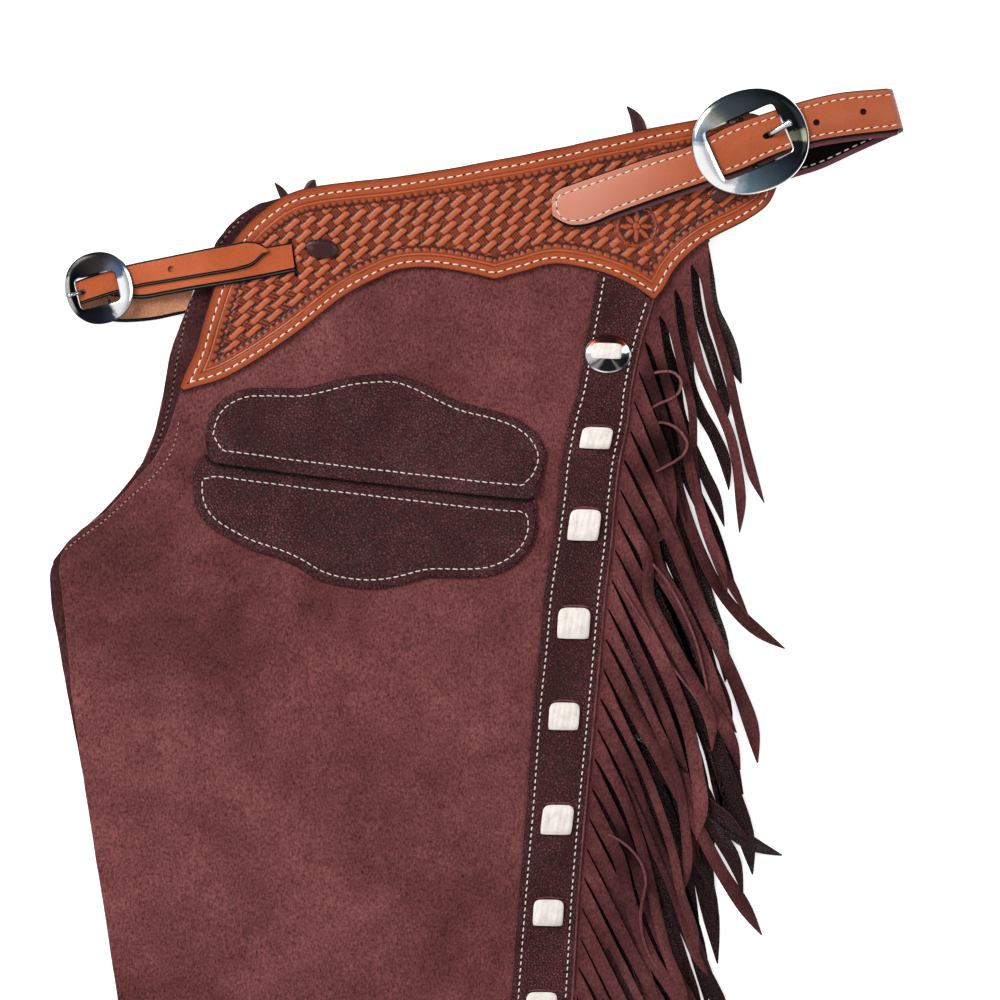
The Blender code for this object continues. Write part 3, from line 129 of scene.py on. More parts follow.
backBelt = [  # upper_across, upper_down, lower_across, lower_down, height, face_tilt
    (367.5, 133, 368.5, 145.5, 21.2, 0), (369.5, 128.5, 374, 149, 21.2, 0),
    (373.5, 125.5, 380.5, 151.5, 21.2, 0), (379, 123.5, 387.5, 151.5, 21.2, 0),
    (402, 115.5, 412, 143, 22.2, 0), (432, 105.5, 441.5, 132.5, 24.4, 0),
    (461.5, 96.5, 470.5, 122.8, 24.8, 0), (486, 84.2, 493, 115, 24.8, 0),
    (511, 75.6, 516, 105, 24.8, 0), (534, 68, 540, 96.5, 23.2, 0), (560, 62, 568, 91.5, 20.5, 0),
    (585, 59.5, 593.5, 88.5, 18, 0), (592.5, 58.8, 600, 87.2, 15.6, 50),
    (595.5, 59.2, 603, 87.3, 9.6, 90), (592.5, 60.5, 600, 88.6, 3.6, 130),
    (583, 64, 591, 92.5, 1, 180), (562, 73, 571, 101.5, 1, 180), (538, 84, 547, 112.5, 2.4, 180),
    (517, 92.5, 524.5, 119.5, 3.5, 180), (499, 99.5, 506, 126, 3.5, 180),
]
frontBillet = [  # upper_across, upper_down, lower_across, lower_down, height, face_tilt
    (178.6, 166, 179.4, 168.5, 21.4, 0), (173.5, 162.5, 175, 171.5, 21.4, 0),
    (164.5, 161, 168.5, 177.2, 21.4, 0), (156, 162.5, 160, 180, 21.4, 0), (137, 166, 140.5, 183.6, 21.4, 0),
    (124, 168.6, 127, 185.8, 19.4, 0), (108, 171.7, 111, 188.4, 15.9, 0),
    (90, 175.3, 93, 191.3, 13.2, 0), (73, 179.6, 77, 195.6, 13.2, 0),
    (60, 183.8, 64.5, 199.6, 13.2, 0), (52, 186.8, 56, 202.4, 13.2, 0),
    (47, 188.8, 50.5, 204.4, 11, 50), (45.4, 189.6, 48.6, 205.2, 7.1, 90),
    (47, 190.4, 50, 206, 3.2, 130), (53, 191.5, 55, 208.8, 1, 180),
    (76, 196, 75.5, 214.2, 1, 180), (100, 194.5, 102.5, 213, 1.4, 180),
    (116, 192, 116, 210.2, 2.4, 180), (129.8, 189.6, 123.2, 208.6, 3.0, 180),
]
frontChape = [  # upper_across, upper_down, lower_across, lower_down, height, face_tilt
    (194.3, 162, 196.7, 181.3, 18.9, 0), (170, 166, 173.5, 186, 18.9, 0),
    (136, 171.9, 139.5, 191.8, 18.9, 0), (124, 174, 127, 193.8, 16.9, 0),
    (108, 176.8, 111, 196.6, 13.4, 0), (90, 180, 92.6, 199.2, 10.7, 0),
    (73, 184.3, 75.2, 196, 10.6, 0),
]
backChape = [  # upper_across, upper_down, lower_across, lower_down, height, face_tilt
    (460, 101, 466, 119.5, 20.2, 0), (478, 92.5, 485, 116.5, 20.2, 0),
    (493.6, 88.2, 500.6, 111.2, 20.2, 0),
]

beltHoles = [(544.0, 82.0), (575.3, 74.7)]       # across, down
conchoRadii = (15.8, 12.6)
rearPlace, rearTurn = (500.0, 94.8), 17.0        # middle and turn of the two buckles
frontPlace, frontTurn = (66.0, 192.0), 14.0
knots = [  # name, across, down, half length, half width, turn
    ("front_knot", 214.7, 166.0, 10.5, 6.2, 0.0),
    ("rear_knot", 480.0, 129.5, 6.5, 4.6, 35.0),
]
laceEnds = [  # name, root, middle, tip, width
    ("lace_end_1", (190.5, 133.0), (187.5, 127.5), (182.8, 121.5), 6.0),
    ("lace_end_2", (206.0, 128.0), (207.5, 123.5), (210.0, 119.5), 9.0),
    ("lace_end_3", (427.5, 92.0), (425.0, 80.5), (418.0, 70.5), 10.0),
]

leather = {"leg": 2.2, "yoke": 3.0, "trim": 2.2, "belt": 2.0, "lining": 1.8, "strap": 2.0}
gap = 0.4            # between pieces that lie on each other
hiddenLoft = 4.4     # the two hidden layers
rimDrop = 4.2        # the top leather rolls down over the fold
rimRoll = 36.0


# small helpers for curves and heights

def ease(t):
    t = np.clip(t, 0.0, 1.0)
    return t * t * (3.0 - 2.0 * t)


def bump(x, centre, width):
    return np.exp(-((x - centre) / width) ** 2)


# smooth line through points of any number of columns, straight turns at the corners
def curveThrough(points, perGap, corners=()):
    pts = np.array(points, float)
    count = len(pts)
    gaps = np.maximum(np.linalg.norm(np.diff(pts, axis=0), axis=1), 1e-6)
    chords = np.diff(pts, axis=0) / gaps[:, None]

    def tangent(k):
        if k == 0 or k == count - 1 or k in corners:
            return None
        return ((chords[k - 1] * gaps[k] + chords[k] * gaps[k - 1])
                / (gaps[k - 1] + gaps[k]))

    out = []
    for i in range(count - 1):
        m0, m1 = tangent(i), tangent(i + 1)
        if m0 is None:
            m0 = chords[i] if m1 is None else 1.5 * chords[i] - 0.5 * m1
        if m1 is None:
            m1 = 1.5 * chords[i] - 0.5 * m0
        for step in range(perGap):
            t = step / perGap
            out.append((2 * t ** 3 - 3 * t ** 2 + 1) * pts[i]
                       + (t ** 3 - 2 * t ** 2 + t) * gaps[i] * m0
                       + (-2 * t ** 3 + 3 * t ** 2) * pts[i + 1]
                       + (t ** 3 - t ** 2) * gaps[i] * m1)
    out.append(pts[-1])
    return np.array(out)


# cubic reading of a table, as dense numbers for np.interp
def readout(table, column):
    keys = [row[0] for row in table]
    values = [row[column] for row in table]
    xs = np.linspace(keys[0], keys[-1], 1500)
    ys = []
    for x in xs:
        i = max(0, min(int(np.searchsorted(keys, x)) - 1, len(keys) - 2))
        width = keys[i + 1] - keys[i]
        t = (x - keys[i]) / width

        def slope(k):
            a, b = max(k - 1, 0), min(k + 1, len(keys) - 1)
            return (values[b] - values[a]) / (keys[b] - keys[a])

        ys.append((2 * t ** 3 - 3 * t ** 2 + 1) * values[i]
                  + (t ** 3 - 2 * t ** 2 + t) * slope(i) * width
                  + (-2 * t ** 3 + 3 * t ** 2) * values[i + 1]
                  + (t ** 3 - t ** 2) * slope(i + 1) * width)
    return xs, np.array(ys)


stripLeftTable = readout(stripEdges, 1)
stripRightTable = readout(stripEdges, 2)
yokeLowerTable = readout([(row[2], row[3]) for row in yokeShape], 1)


def stripLeft(down):
    return np.interp(down, *stripLeftTable)


def stripRight(down):
    return np.interp(down, *stripRightTable)


def yokeLower(across):
    return np.interp(across, *yokeLowerTable)


# what the layers underneath lift the leather by
def ground(x, y):
    overYoke = ease((yokeLower(x) + 124.0 - y) / 110.0)
    overStrip = ease((x - stripLeft(y) + 92.0) / 80.0)
    return 3.4 * overYoke + 2.6 * overStrip * (1.0 - overYoke)


def relief(x, y):
    wave = 0.8 * np.sin(2 * math.pi * (x / 230.0 + y / 620.0) + 0.6)
    wave = wave + 0.6 * np.sin(2 * math.pi * (y / 330.0 - x / 520.0) + 1.9)
    return (wave + 0.6) * ease((y - 175.0) / 110.0)


creases = [  # from, to, width, height: soft troughs and ridges
    ((70, 372), (150, 430), 17.0, -0.55), ((120, 330), (215, 500), 26.0, 0.5),
    ((95, 520), (300, 640), 30.0, -0.6), ((210, 470), (330, 575), 24.0, 0.45),
    ((150, 760), (330, 700), 34.0, 0.6), ((130, 880), (300, 940), 30.0, -0.55),
    ((60, 440), (110, 560), 15.0, 0.4), ((250, 205), (335, 245), 16.0, -0.35),
    ((300, 380), (352, 520), 16.0, -0.45), ((180, 1000), (300, 860), 22.0, 0.4),
]


def creased(x, y):
    total = np.zeros_like(np.asarray(x, float))
    for (x0, y0), (x1, y1), width, height in creases:
        run = np.array([x1 - x0, y1 - y0], float)
        length = np.hypot(*run)
        t = ((x - x0) * run[0] + (y - y0) * run[1]) / length ** 2
        side = ((x - x0) * run[1] - (y - y0) * run[0]) / length + 6.0 * np.sin(t * 5.0)
        inside = ease(t * 3.0 + 0.6) * ease((1.0 - t) * 3.0 + 0.6)
        total = total + height * inside * np.exp(-(side / width) ** 2)
    return total * ease((y - 190.0) / 60.0)


def panelTop(x, y):
    return ground(x, y) + relief(x, y) + creased(x, y) + 2 * leather["leg"] + hiddenLoft + 2 * gap


def onPanel(x, y):
    return panelTop(x, y) + gap


# distance of many points to a line, with the place along it of the nearest point
def lineDistance(points, line):
    points = np.asarray(points, float)
    line = np.asarray(line, float)
    start, run = line[:-1], np.diff(line, axis=0)
    lengths = np.maximum(np.linalg.norm(run, axis=1), 1e-6)
    begins = np.concatenate(([0.0], np.cumsum(lengths)[:-1]))
    best = np.empty(len(points))
    place = np.empty(len(points))
    for k in range(0, len(points), 3000):
        p = points[k:k + 3000, None, :]
        t = np.clip(((p - start) * run).sum(2) / lengths ** 2, 0.0, 1.0)
        d = np.hypot(*np.moveaxis(p - start - t[..., None] * run, 2, 0))
        nearest = d.argmin(1)
        rows = np.arange(len(nearest))
        best[k:k + 3000] = d[rows, nearest]
        place[k:k + 3000] = begins[nearest] + t[rows, nearest] * lengths[nearest]
    return best, place


# a closed line moved inwards, cleaned where it would cross itself
def insetLine(line, inset):
    line = np.vstack([line, line[:1]])
    inset = np.append(inset, inset[0])
    run = np.gradient(line, axis=0)
    run /= np.maximum(np.linalg.norm(run, axis=1), 1e-9)[:, None]
    area = np.sum(line[:-1, 0] * line[1:, 1] - line[1:, 0] * line[:-1, 1])
    side = 1.0 if area > 0 else -1.0
    moved = line + side * np.stack([-run[:, 1], run[:, 0]], 1) * inset[:, None]
    far, _ = lineDistance(moved, line)
    return moved[far >= 0.93 * inset]


def evenly(line, pitch, closed=False):
    line = np.asarray(line, float)
    if closed:
        line = np.vstack([line, line[:1]])
    lengths = np.concatenate(([0.0], np.cumsum(np.linalg.norm(np.diff(line, axis=0), axis=1))))
    count = max(1, int(round(lengths[-1] / pitch)))
    marks = (np.arange(count) + 0.5) * lengths[-1] / count
    return np.stack([np.interp(marks, lengths, line[:, k]) for k in range(line.shape[1])], 1)


# a closed seam cut at its corners, so that the stitches of both sides meet there
def seamRows(line, sharpest=36.0):
    fine = evenly(line, 0.8)
    ahead, behind = np.roll(fine, -3, 0) - fine, fine - np.roll(fine, 3, 0)
    turn = np.abs(np.degrees(np.arctan2(behind[:, 0] * ahead[:, 1] - behind[:, 1] * ahead[:, 0],
                                        (behind * ahead).sum(1))))
    around = np.max([np.roll(turn, k) for k in range(-5, 6)], 0)
    corners = [k for k in range(len(fine)) if turn[k] > sharpest and turn[k] == around[k]]
    if not corners:
        return [line]
    fine = np.roll(fine, -corners[0], 0)
    fine = np.vstack([fine, fine[:1]])
    cuts = [k - corners[0] for k in corners] + [len(fine) - 1]
    return [fine[a:b + 1] for a, b in zip(cuts, cuts[1:]) if b - a > 5]


# small helpers for meshes

def toWorld(points):
    p = np.asarray(points, float)
    return np.stack([(p[:, 0] - originAcross) / 1000.0, (originDown - p[:, 1]) / 1000.0,
                     p[:, 2] / 1000.0], 1)


# a number for each point of a mesh, which the finishes read
def addShade(mesh, label, values):
    layer = mesh.attributes.new(label, "FLOAT", "POINT")
    layer.data.foreach_set("value", np.asarray(values, np.float32))


def buildMesh(name, points, faces, materials, faceKinds, sharp=40.0, tones=None):
    mesh = bpy.data.meshes.new(name)
    mesh.from_pydata(toWorld(points).tolist(), [], faces)
    for material in materials:
        mesh.materials.append(material)
    mesh.polygons.foreach_set("material_index", faceKinds)
    work = bmesh.new()
    work.from_mesh(mesh)
    bmesh.ops.recalc_face_normals(work, faces=work.faces)
    work.to_mesh(mesh)
    work.free()
    for label, values in (tones or {}).items():
        addShade(mesh, label, values)
    mesh.shade_smooth()
    mesh.set_sharp_from_angle(angle=math.radians(sharp))
    item = bpy.data.objects.new(name, mesh)
    bpy.context.scene.collection.objects.link(item)
    return item


def pick(item):
    bpy.ops.object.select_all(action="DESELECT")
    item.select_set(True)
    bpy.context.view_layer.objects.active = item


def roundEdges(item, width):
    pick(item)
    modifier = item.modifiers.new("rounding", "BEVEL")
    modifier.width = width / 1000.0
    modifier.segments = 2
    modifier.limit_method = "ANGLE"
    modifier.angle_limit = math.radians(50.0)
    modifier.use_clamp_overlap = True
    modifier.miter_outer = "MITER_ARC"
    bpy.ops.object.modifier_apply(modifier=modifier.name)
    item.data.shade_smooth()
    item.data.set_sharp_from_angle(angle=math.radians(60.0))


# faces of a skin round rings of points, with a cap at both ends unless the rings close
def skinFaces(sides, count, base=0, closed=False):
    faces = []
    for r in range(count if closed else count - 1):
        n = (r + 1) % count
        for k in range(sides):
            m = (k + 1) % sides
            corners = (r * sides + k, r * sides + m, n * sides + m, n * sides + k)
            faces.append(tuple(base + corner for corner in corners))
    if not closed:
        faces.append(tuple(base + k for k in range(sides)))
        faces.append(tuple(base + (count - 1) * sides + k for k in range(sides)))
    return faces


# leather over a grid of plan points: fine on its upper face, coarser below, rim between
def hide(name, plan, top, bottom, step, materials, edge, tones=None, cutColumns=0):
    rows, cols = plan.shape[:2]
    upper = np.dstack([plan, top]).reshape(-1, 3)
    lowRows, lowCols = range(0, rows, step), range(0, cols, step)
    lower = np.array([(plan[r, c, 0], plan[r, c, 1], bottom[r, c]) for r in lowRows for c in lowCols])
    index = np.arange(rows * cols).reshape(rows, cols)
    quads = np.stack([index[:-1, :-1], index[:-1, 1:], index[1:, 1:], index[1:, :-1]], 2)
    faces = quads.reshape(-1, 4).tolist()
    base = rows * cols
    under = base + np.arange(len(lowRows) * len(lowCols)).reshape(len(lowRows), len(lowCols))
    quads = np.stack([under[:-1, :-1], under[1:, :-1], under[1:, 1:], under[:-1, 1:]], 2)
    lowFaces = quads.reshape(-1, 4).tolist()

    def around(grid):
        return (list(grid[0, :-1]) + list(grid[:-1, -1]) + list(grid[-1, :0:-1])
                + list(grid[:0:-1, 0]))

    rim, lowRim = around(index), around(under)
    rim.append(rim[0])
    lowRim.append(lowRim[0])
    rimFaces = []
    for k in range(len(lowRim) - 1):
        face = [int(i) for i in rim[k * step:(k + 1) * step + 1]]
        rimFaces.append(face + [int(lowRim[k + 1]), int(lowRim[k])])
    kinds = [0] * len(faces)
    for k in range(len(faces)):     # columns next to the far edge that show the raw cut
        if k % (cols - 1) >= cols - 1 - cutColumns:
            kinds[k] = 1
    kinds += [min(1, len(materials) - 1)] * len(rimFaces)
    kinds += [min(2, len(materials) - 1)] * len(lowFaces)
    if tones is not None:
        tones = {key: np.concatenate([value.reshape(-1), np.full(len(lower), 0.5)])
                 for key, value in tones.items()}
    item = buildMesh(name, np.vstack([upper, lower]), faces + rimFaces + lowFaces, materials,
                     kinds, tones=tones)
    roundEdges(item, edge)
    return item


# plan grid between two lines of the same number of points
def between(first, second, shares):
    shares = np.asarray(shares)[None, :, None]
    return first[:, None, :] * (1.0 - shares) + second[:, None, :] * shares


def stepTo(count, step):
    return (max(count, step + 1) - 1 + step - 1) // step * step + 1


# plan grid between the upper and lower edges of a shape, four columns of its table
def shapedPlan(shape, perGap, shares):
    upper = curveThrough([row[:2] for row in shape], perGap)
    lower = curveThrough([row[2:] for row in shape], perGap)
    return between(upper, lower, shares)


def outlineOf(plan):
    return np.vstack([plan[0], plan[1:, -1], plan[-1, -2::-1], plan[-2:0:-1, 0]])


# every piece rides on the one body, and most stand for a node of the model
def finishPiece(item, slot, *nodes):
    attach(item, "root")
    if nodes:
        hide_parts(*nodes)


# finishes

# nodes of a material or of the world, fed by values or by each other
class Nodes:
    def __init__(self, tree):
        self.tree = tree

    def feed(self, node, inputs):
        for key, value in inputs.items():
            if isinstance(value, bpy.types.NodeSocket):
                self.tree.links.new(value, node.inputs[key])
            else:
                node.inputs[key].default_value = value

    def add(self, kind, inputs, output=0, **settings):
        node = self.tree.nodes.new("ShaderNode" + kind)
        for key, value in settings.items():
            setattr(node, key, value)
        self.feed(node, inputs)
        return node.outputs[output]

    def math(self, operation, *values):
        return self.add("Math", dict(enumerate(values)), operation=operation)

    def weighed(self, first, second, weight):
        return self.math("ADD", self.math("MULTIPLY", first, 1.0 - weight),
                         self.math("MULTIPLY", second, weight))

    def swing(self, noise, reach):
        return self.math("MULTIPLY", self.math("SUBTRACT", noise, 0.5), reach)

    def read(self, attribute):
        return self.add("Attribute", {}, "Fac", attribute_name=attribute)

    def scaled(self, colour, strength):
        return self.add("VectorMath", {"Vector": colour, "Scale": strength}, "Vector", operation="SCALE")

    def mix(self, factor, first, second, blend="MIX"):
        return self.add("Mix", {"Factor": factor, "A": first, "B": second}, "Result",
                        data_type="RGBA", blend_type=blend)

    def ramp(self, factor, stops):
        out = self.add("ValToRGB", {"Fac": factor}, "Color")
        elements = out.node.color_ramp.elements
        while len(elements) < len(stops):
            elements.new(0.5)
        for element, (position, colour) in zip(elements, stops):
            element.position = position
            element.color = linear(colour if isinstance(colour, tuple) else (colour,) * 3)
        return out

    def bump(self, height, strength, distance, under=None):
        inputs = {"Strength": strength, "Distance": distance, "Height": height}
        if under is not None:
            inputs["Normal"] = under
        return self.add("Bump", inputs, "Normal")


class Paint(Nodes):
    def __init__(self, name, roughness, metallic=0.0):
        self.material = bpy.data.materials.new(name)
        self.material.use_nodes = True
        super().__init__(self.material.node_tree)
        self.place = self.add("TexCoord", {}, "Object")
        self.coat({"Roughness": roughness, "Metallic": metallic})

    def coat(self, inputs):
        self.feed(self.tree.nodes["Principled BSDF"], inputs)

    def noise(self, scale, detail, roughness=0.55, distortion=0.0, stretch=None, turn=0.0):
        place = self.place
        if stretch:
            turned = (0, 0, math.radians(turn))
            place = self.add("Mapping", {"Scale": stretch, "Rotation": turned, "Vector": place}, "Vector")
        return self.add("TexNoise", {"Scale": scale, "Detail": detail, "Roughness": roughness,
                                     "Distortion": distortion, "Vector": place}, "Fac")


def linear(colour):
    out = []
    for value in colour:
        value = value / 255.0
        out.append(value / 12.92 if value <= 0.04045 else ((value + 0.055) / 1.055) ** 2.4)
    return (*out, 1.0)


# napped suede: cloudy colour where the nap lies differently, short fibres, soft sheen
def suedeFinish(name, look):
    paint = Paint(name, 0.95)
    clouds = paint.noise(look["clouds"], 4.0, 0.62, 0.6)
    patches = paint.noise(look["clouds"] * 6.0, 4.0, 0.6, 0.3)
    nap = paint.noise(720.0, 4.0, 0.8, 0.4, stretch=(1.0, 0.64, 1.0), turn=6.0)
    strength = paint.math("MULTIPLY_ADD", nap, look["nap"], 1.0 - 0.5 * look["nap"])
    if look.get("toned"):       # strands lie more or less in each other's shade
        strength = paint.math("MULTIPLY", strength, paint.read("tone"))
    for across, down, wide, tall, depth in look.get("shades", ()):      # broad darker clouds
        away = paint.add("VectorMath", {
            0: paint.place, 1: (1000.0 / wide, 1000.0 / tall, 0.0),
            2: ((originAcross - across) / wide, (down - originDown) / tall, 0.0)},
            "Vector", operation="MULTIPLY_ADD")
        reach = paint.add("VectorMath", {0: away}, "Value", operation="LENGTH")
        share = paint.math("ADD", reach, paint.math("SUBTRACT", clouds, 0.5))
        toneShift = paint.add("MapRange", {"To Min": 1.0 - depth, "Value": share}, "Result",
                         interpolation_type="SMOOTHSTEP")
        strength = paint.math("MULTIPLY", strength, toneShift)
    colour = paint.scaled(paint.ramp(paint.weighed(clouds, patches, 0.32), look["stops"]), strength)
    low = paint.bump(patches, 0.35, 0.0012)
    mid = paint.bump(nap, 0.7, 0.0006, low)
    paint.coat({"Base Color": colour, "Normal": paint.bump(paint.noise(1500.0, 4.0, 0.75), 0.55, 0.00025, mid),
                "Sheen Weight": 0.12, "Sheen Roughness": 0.55, "Sheen Tint": linear((220, 160, 150)),
                "Specular IOR Level": 0.08})
    return paint.material


# smooth or pebbled grain leather
def grainFinish(name, look):
    paint = Paint(name, 0.45)
    broad = paint.noise(look.get("broad", 30.0), 4.0, 0.6, 0.4)
    fine = paint.noise(700.0, 4.0, 0.6)
    colour = paint.ramp(paint.weighed(broad, fine, look.get("mottle", 0.28)), look["stops"])
    warp = paint.add("VectorMath", {0: fine.node.outputs["Color"], 1: (0.0008,) * 3, 2: paint.place},
                     "Vector", operation="MULTIPLY_ADD")
    cells = paint.add("TexVoronoi", {"Scale": look.get("pebble", 800.0), "Randomness": 0.9, "Vector": warp},
                      "Distance", feature="DISTANCE_TO_EDGE")
    valley = paint.ramp(cells, [(0.0, 0), (look.get("valley", 0.16), 255)])
    if look.get("valleys"):
        colour = paint.mix(look["valleys"], colour, valley, "MULTIPLY")
    # painted shade, carried by the piece's tone
    if look.get("toned"):
        colour = paint.scaled(colour, paint.read("tone"))
    if look.get("toneShift"):        # painted sheen: paler and pinker towards one end, where the strap catches the light
        start, stop, sheenColour = look["toneShift"]
        across = paint.add("SeparateXYZ", {"Vector": paint.place}, "X")
        share = paint.add("MapRange", {"From Min": (start - originAcross) / 1000.0,
                                       "From Max": (stop - originAcross) / 1000.0, "Value": across}, "Result")
        colour = paint.mix(share, linear(sheenColour), colour)
    pebbled = paint.bump(valley, look.get("pebbleDepth", 0.4), 0.0004, paint.bump(broad, 0.25, 0.0008))
    shine = look["shine"]
    paint.coat({"Base Color": colour, "Normal": paint.bump(fine, 0.3, 0.00015, pebbled),
                "Roughness": paint.ramp(fine, [(0.3, shine), (0.75, shine + 45)]),
                "Specular IOR Level": look.get("gloss", 0.16)})
    return paint.material


suede = suedeFinish("suede_nap", {
    "clouds": 7.0, "nap": 4.2,
    "shades": [(70, 362, 74, 58, 0.42), (96, 424, 80, 70, 0.22), (120, 298, 60, 50, 0.16),
               (300, 600, 90, 60, 0.1), (120, 480, 60, 70, 0.06), (236, 452, 90, 80, -0.12)],
    "stops": [(0.33, (78, 39, 40)), (0.46, (99, 53, 54)), (0.56, (112, 63, 63)), (0.68, (128, 76, 76))]})
suedeDark = suedeFinish("suede_nap_under", {
    "clouds": 9.0, "nap": 4.6, "stops": [(0.33, (44, 22, 24)), (0.5, (62, 33, 35)), (0.72, (84, 50, 52))]})
suedeEdge = suedeFinish("suede_raw_edge", {
    "clouds": 40.0, "nap": 2.2,
    "stops": [(0.35, (92, 50, 52)), (0.55, (122, 74, 75)), (0.75, (150, 102, 102))]})
suedeStrand = suedeFinish("suede_strand", {
    "clouds": 14.0, "nap": 3.4, "toned": True,
    "stops": [(0.34, (84, 43, 44)), (0.48, (104, 56, 57)), (0.6, (118, 66, 67)), (0.72, (132, 80, 80))]})
strandCut = suedeFinish("suede_strand_cut", {
    "clouds": 40.0, "nap": 2.0, "toned": True,
    "stops": [(0.35, (92, 50, 52)), (0.55, (118, 70, 71)), (0.75, (140, 92, 92))]})
grainStrand = grainFinish("strand_grain_side", {
    "stops": [(0.3, (46, 20, 21)), (0.55, (66, 31, 33)), (0.75, (92, 52, 53))], "toned": True, "mottle": 0.45,
    "pebble": 560.0, "pebbleDepth": 0.9, "valleys": 0.6, "shine": 110, "gloss": 0.22})
laceOxblood = grainFinish("lace_oxblood", {
    "stops": [(0.3, (40, 16, 17)), (0.55, (56, 25, 26)), (0.75, (76, 38, 38))],
    "pebble": 1200.0, "pebbleDepth": 0.15, "shine": 84, "gloss": 0.3})
oxblood = grainFinish("oxblood_pebbled", {
    "stops": [(0.36, (60, 22, 24)), (0.5, (80, 35, 37)), (0.63, (112, 59, 61))], "mottle": 0.62,
    "pebble": 500.0, "pebbleDepth": 1.0, "valleys": 0.8, "valley": 0.28, "shine": 102, "gloss": 0.15})
oxbloodPocket = grainFinish("oxblood_pocket", {
    "stops": [(0.36, (60, 22, 25)), (0.5, (82, 37, 40)), (0.63, (118, 66, 69))], "toned": True, "mottle": 0.62,
    "pebble": 470.0, "pebbleDepth": 1.0, "valleys": 0.8, "valley": 0.3, "shine": 102, "gloss": 0.16})
oxbloodSmooth = grainFinish("oxblood_smooth", {
    "stops": [(0.3, (38, 13, 16)), (0.55, (52, 20, 24)), (0.75, (70, 32, 35))],
    "pebble": 1200.0, "pebbleDepth": 0.3, "shine": 120, "gloss": 0.08})
liningEdge = grainFinish("lining_edge", {
    "stops": [(0.3, (84, 46, 52)), (0.6, (112, 68, 74)), (0.8, (136, 92, 96))],
    "pebble": 1200.0, "pebbleDepth": 0.3, "shine": 120, "gloss": 0.1})
# the belt carries a painted sheen, paler and pinker towards its tip end
beltTan = grainFinish("belt_tan", {
    "stops": [(0.28, (160, 78, 46)), (0.5, (173, 88, 55)), (0.74, (185, 100, 67))], "broad": 22.0,
    "pebble": 1600.0, "pebbleDepth": 0.1, "shine": 110, "toneShift": (384.0, 466.0, (200, 132, 112))})
strapTan = grainFinish("strap_tan", {
    "stops": [(0.28, (154, 70, 36)), (0.5, (176, 86, 49)), (0.74, (190, 100, 62))],
    "pebble": 1600.0, "pebbleDepth": 0.1, "shine": 110})
fleshSide = grainFinish("flesh_side", {
    "stops": [(0.28, (150, 98, 70)), (0.5, (182, 126, 96)), (0.74, (200, 148, 116))],
    "pebble": 420.0, "pebbleDepth": 0.3, "valleys": 0.25, "shine": 190, "gloss": 0.08})
blackEdge = grainFinish("burnished_edge", {
    "stops": [(0.3, (8, 5, 5)), (0.6, (14, 9, 9)), (0.8, (24, 16, 15))],
    "pebble": 1500.0, "pebbleDepth": 0.2, "shine": 100, "gloss": 0.12})
# painted highlight: a grey line inside the black edge, in place of its reflection
paintedEdgeHighlight = grainFinish("burnished_edge_painted_highlight", {
    "stops": [(0.3, (58, 54, 54)), (0.6, (84, 80, 80)), (0.8, (104, 100, 100))],
    "pebble": 1500.0, "pebbleDepth": 0.2, "shine": 80, "gloss": 0.4})
# painted shade: near black, for the insides of holes, slits and awl marks
paintedHoleShade = grainFinish("painted_hole_shade", {
    "stops": [(0.3, (10, 5, 5)), (0.6, (18, 9, 9)), (0.8, (28, 15, 14))], "shine": 190, "gloss": 0.05})
rawhide = grainFinish("rawhide_white", {
    "stops": [(0.28, (214, 202, 192)), (0.5, (234, 225, 217)), (0.74, (245, 240, 234))], "broad": 160.0,
    "pebble": 700.0, "pebbleDepth": 0.3, "shine": 175, "gloss": 0.2})


# tooled leather: pads light, stamped ground dark, the tone comes with the piece
def tooledFinish(name, stops):
    paint = Paint(name, 0.45)
    tone = paint.read("tone")
    broad, fine = paint.noise(24.0, 4.0, 0.6, 0.5), paint.noise(900.0, 4.0, 0.65)
    share = paint.math("ADD", paint.math("ADD", tone, paint.swing(broad, 0.26)), paint.swing(fine, 0.26))
    paint.coat({"Base Color": paint.ramp(share, stops), "Specular IOR Level": 0.22,
                "Roughness": paint.ramp(tone, [(0.1, 165), (0.7, 118)]),
                "Normal": paint.bump(fine, 0.35, 0.00018, paint.bump(broad, 0.2, 0.0008))})
    return paint.material


tooled = tooledFinish("tooled_tan", [
    (0.0, (14, 6, 6)), (0.1, (44, 16, 12)), (0.28, (84, 31, 21)), (0.5, (148, 64, 32)), (0.66, (170, 81, 46)),
    (0.82, (186, 98, 62)), (1.0, (204, 120, 84))])


# polished plate with a little cloudiness and hairline scratches; its colour is painted reflection, white where
# it faces the camera and dark towards its outline, with a faint painted glow
def metalFinish(name, roughness):
    paint = Paint(name, roughness, 1.0)
    cloudy = paint.noise(60.0, 3.0, 0.5)
    scratches = paint.noise(900.0, 3.0, 0.6, stretch=(1.0, 0.04, 1.0), turn=35.0)
    facing = paint.add("LayerWeight", {"Blend": 0.5}, "Facing")
    shaded = paint.ramp(facing, [
        (0.12, 255), (0.34, (120, 120, 122)), (0.55, (24, 24, 26)), (0.8, (60, 60, 62)), (0.95, (12, 12, 13))])
    tint = paint.ramp(cloudy, [(0.3, (196, 198, 200)), (0.7, (226, 227, 228))])
    colour = paint.mix(1.0, tint, shaded, "MULTIPLY")
    grey = int(255 * roughness)
    paint.coat({"Base Color": colour, "Emission Color": colour, "Emission Strength": 0.12,
                "Roughness": paint.ramp(scratches, [(0.35, grey - 12), (0.8, grey + 28)]),
                "Normal": paint.bump(cloudy, 0.15, 0.0006)})
    return paint.material


silver = metalFinish("plate_painted_reflections", 0.12)
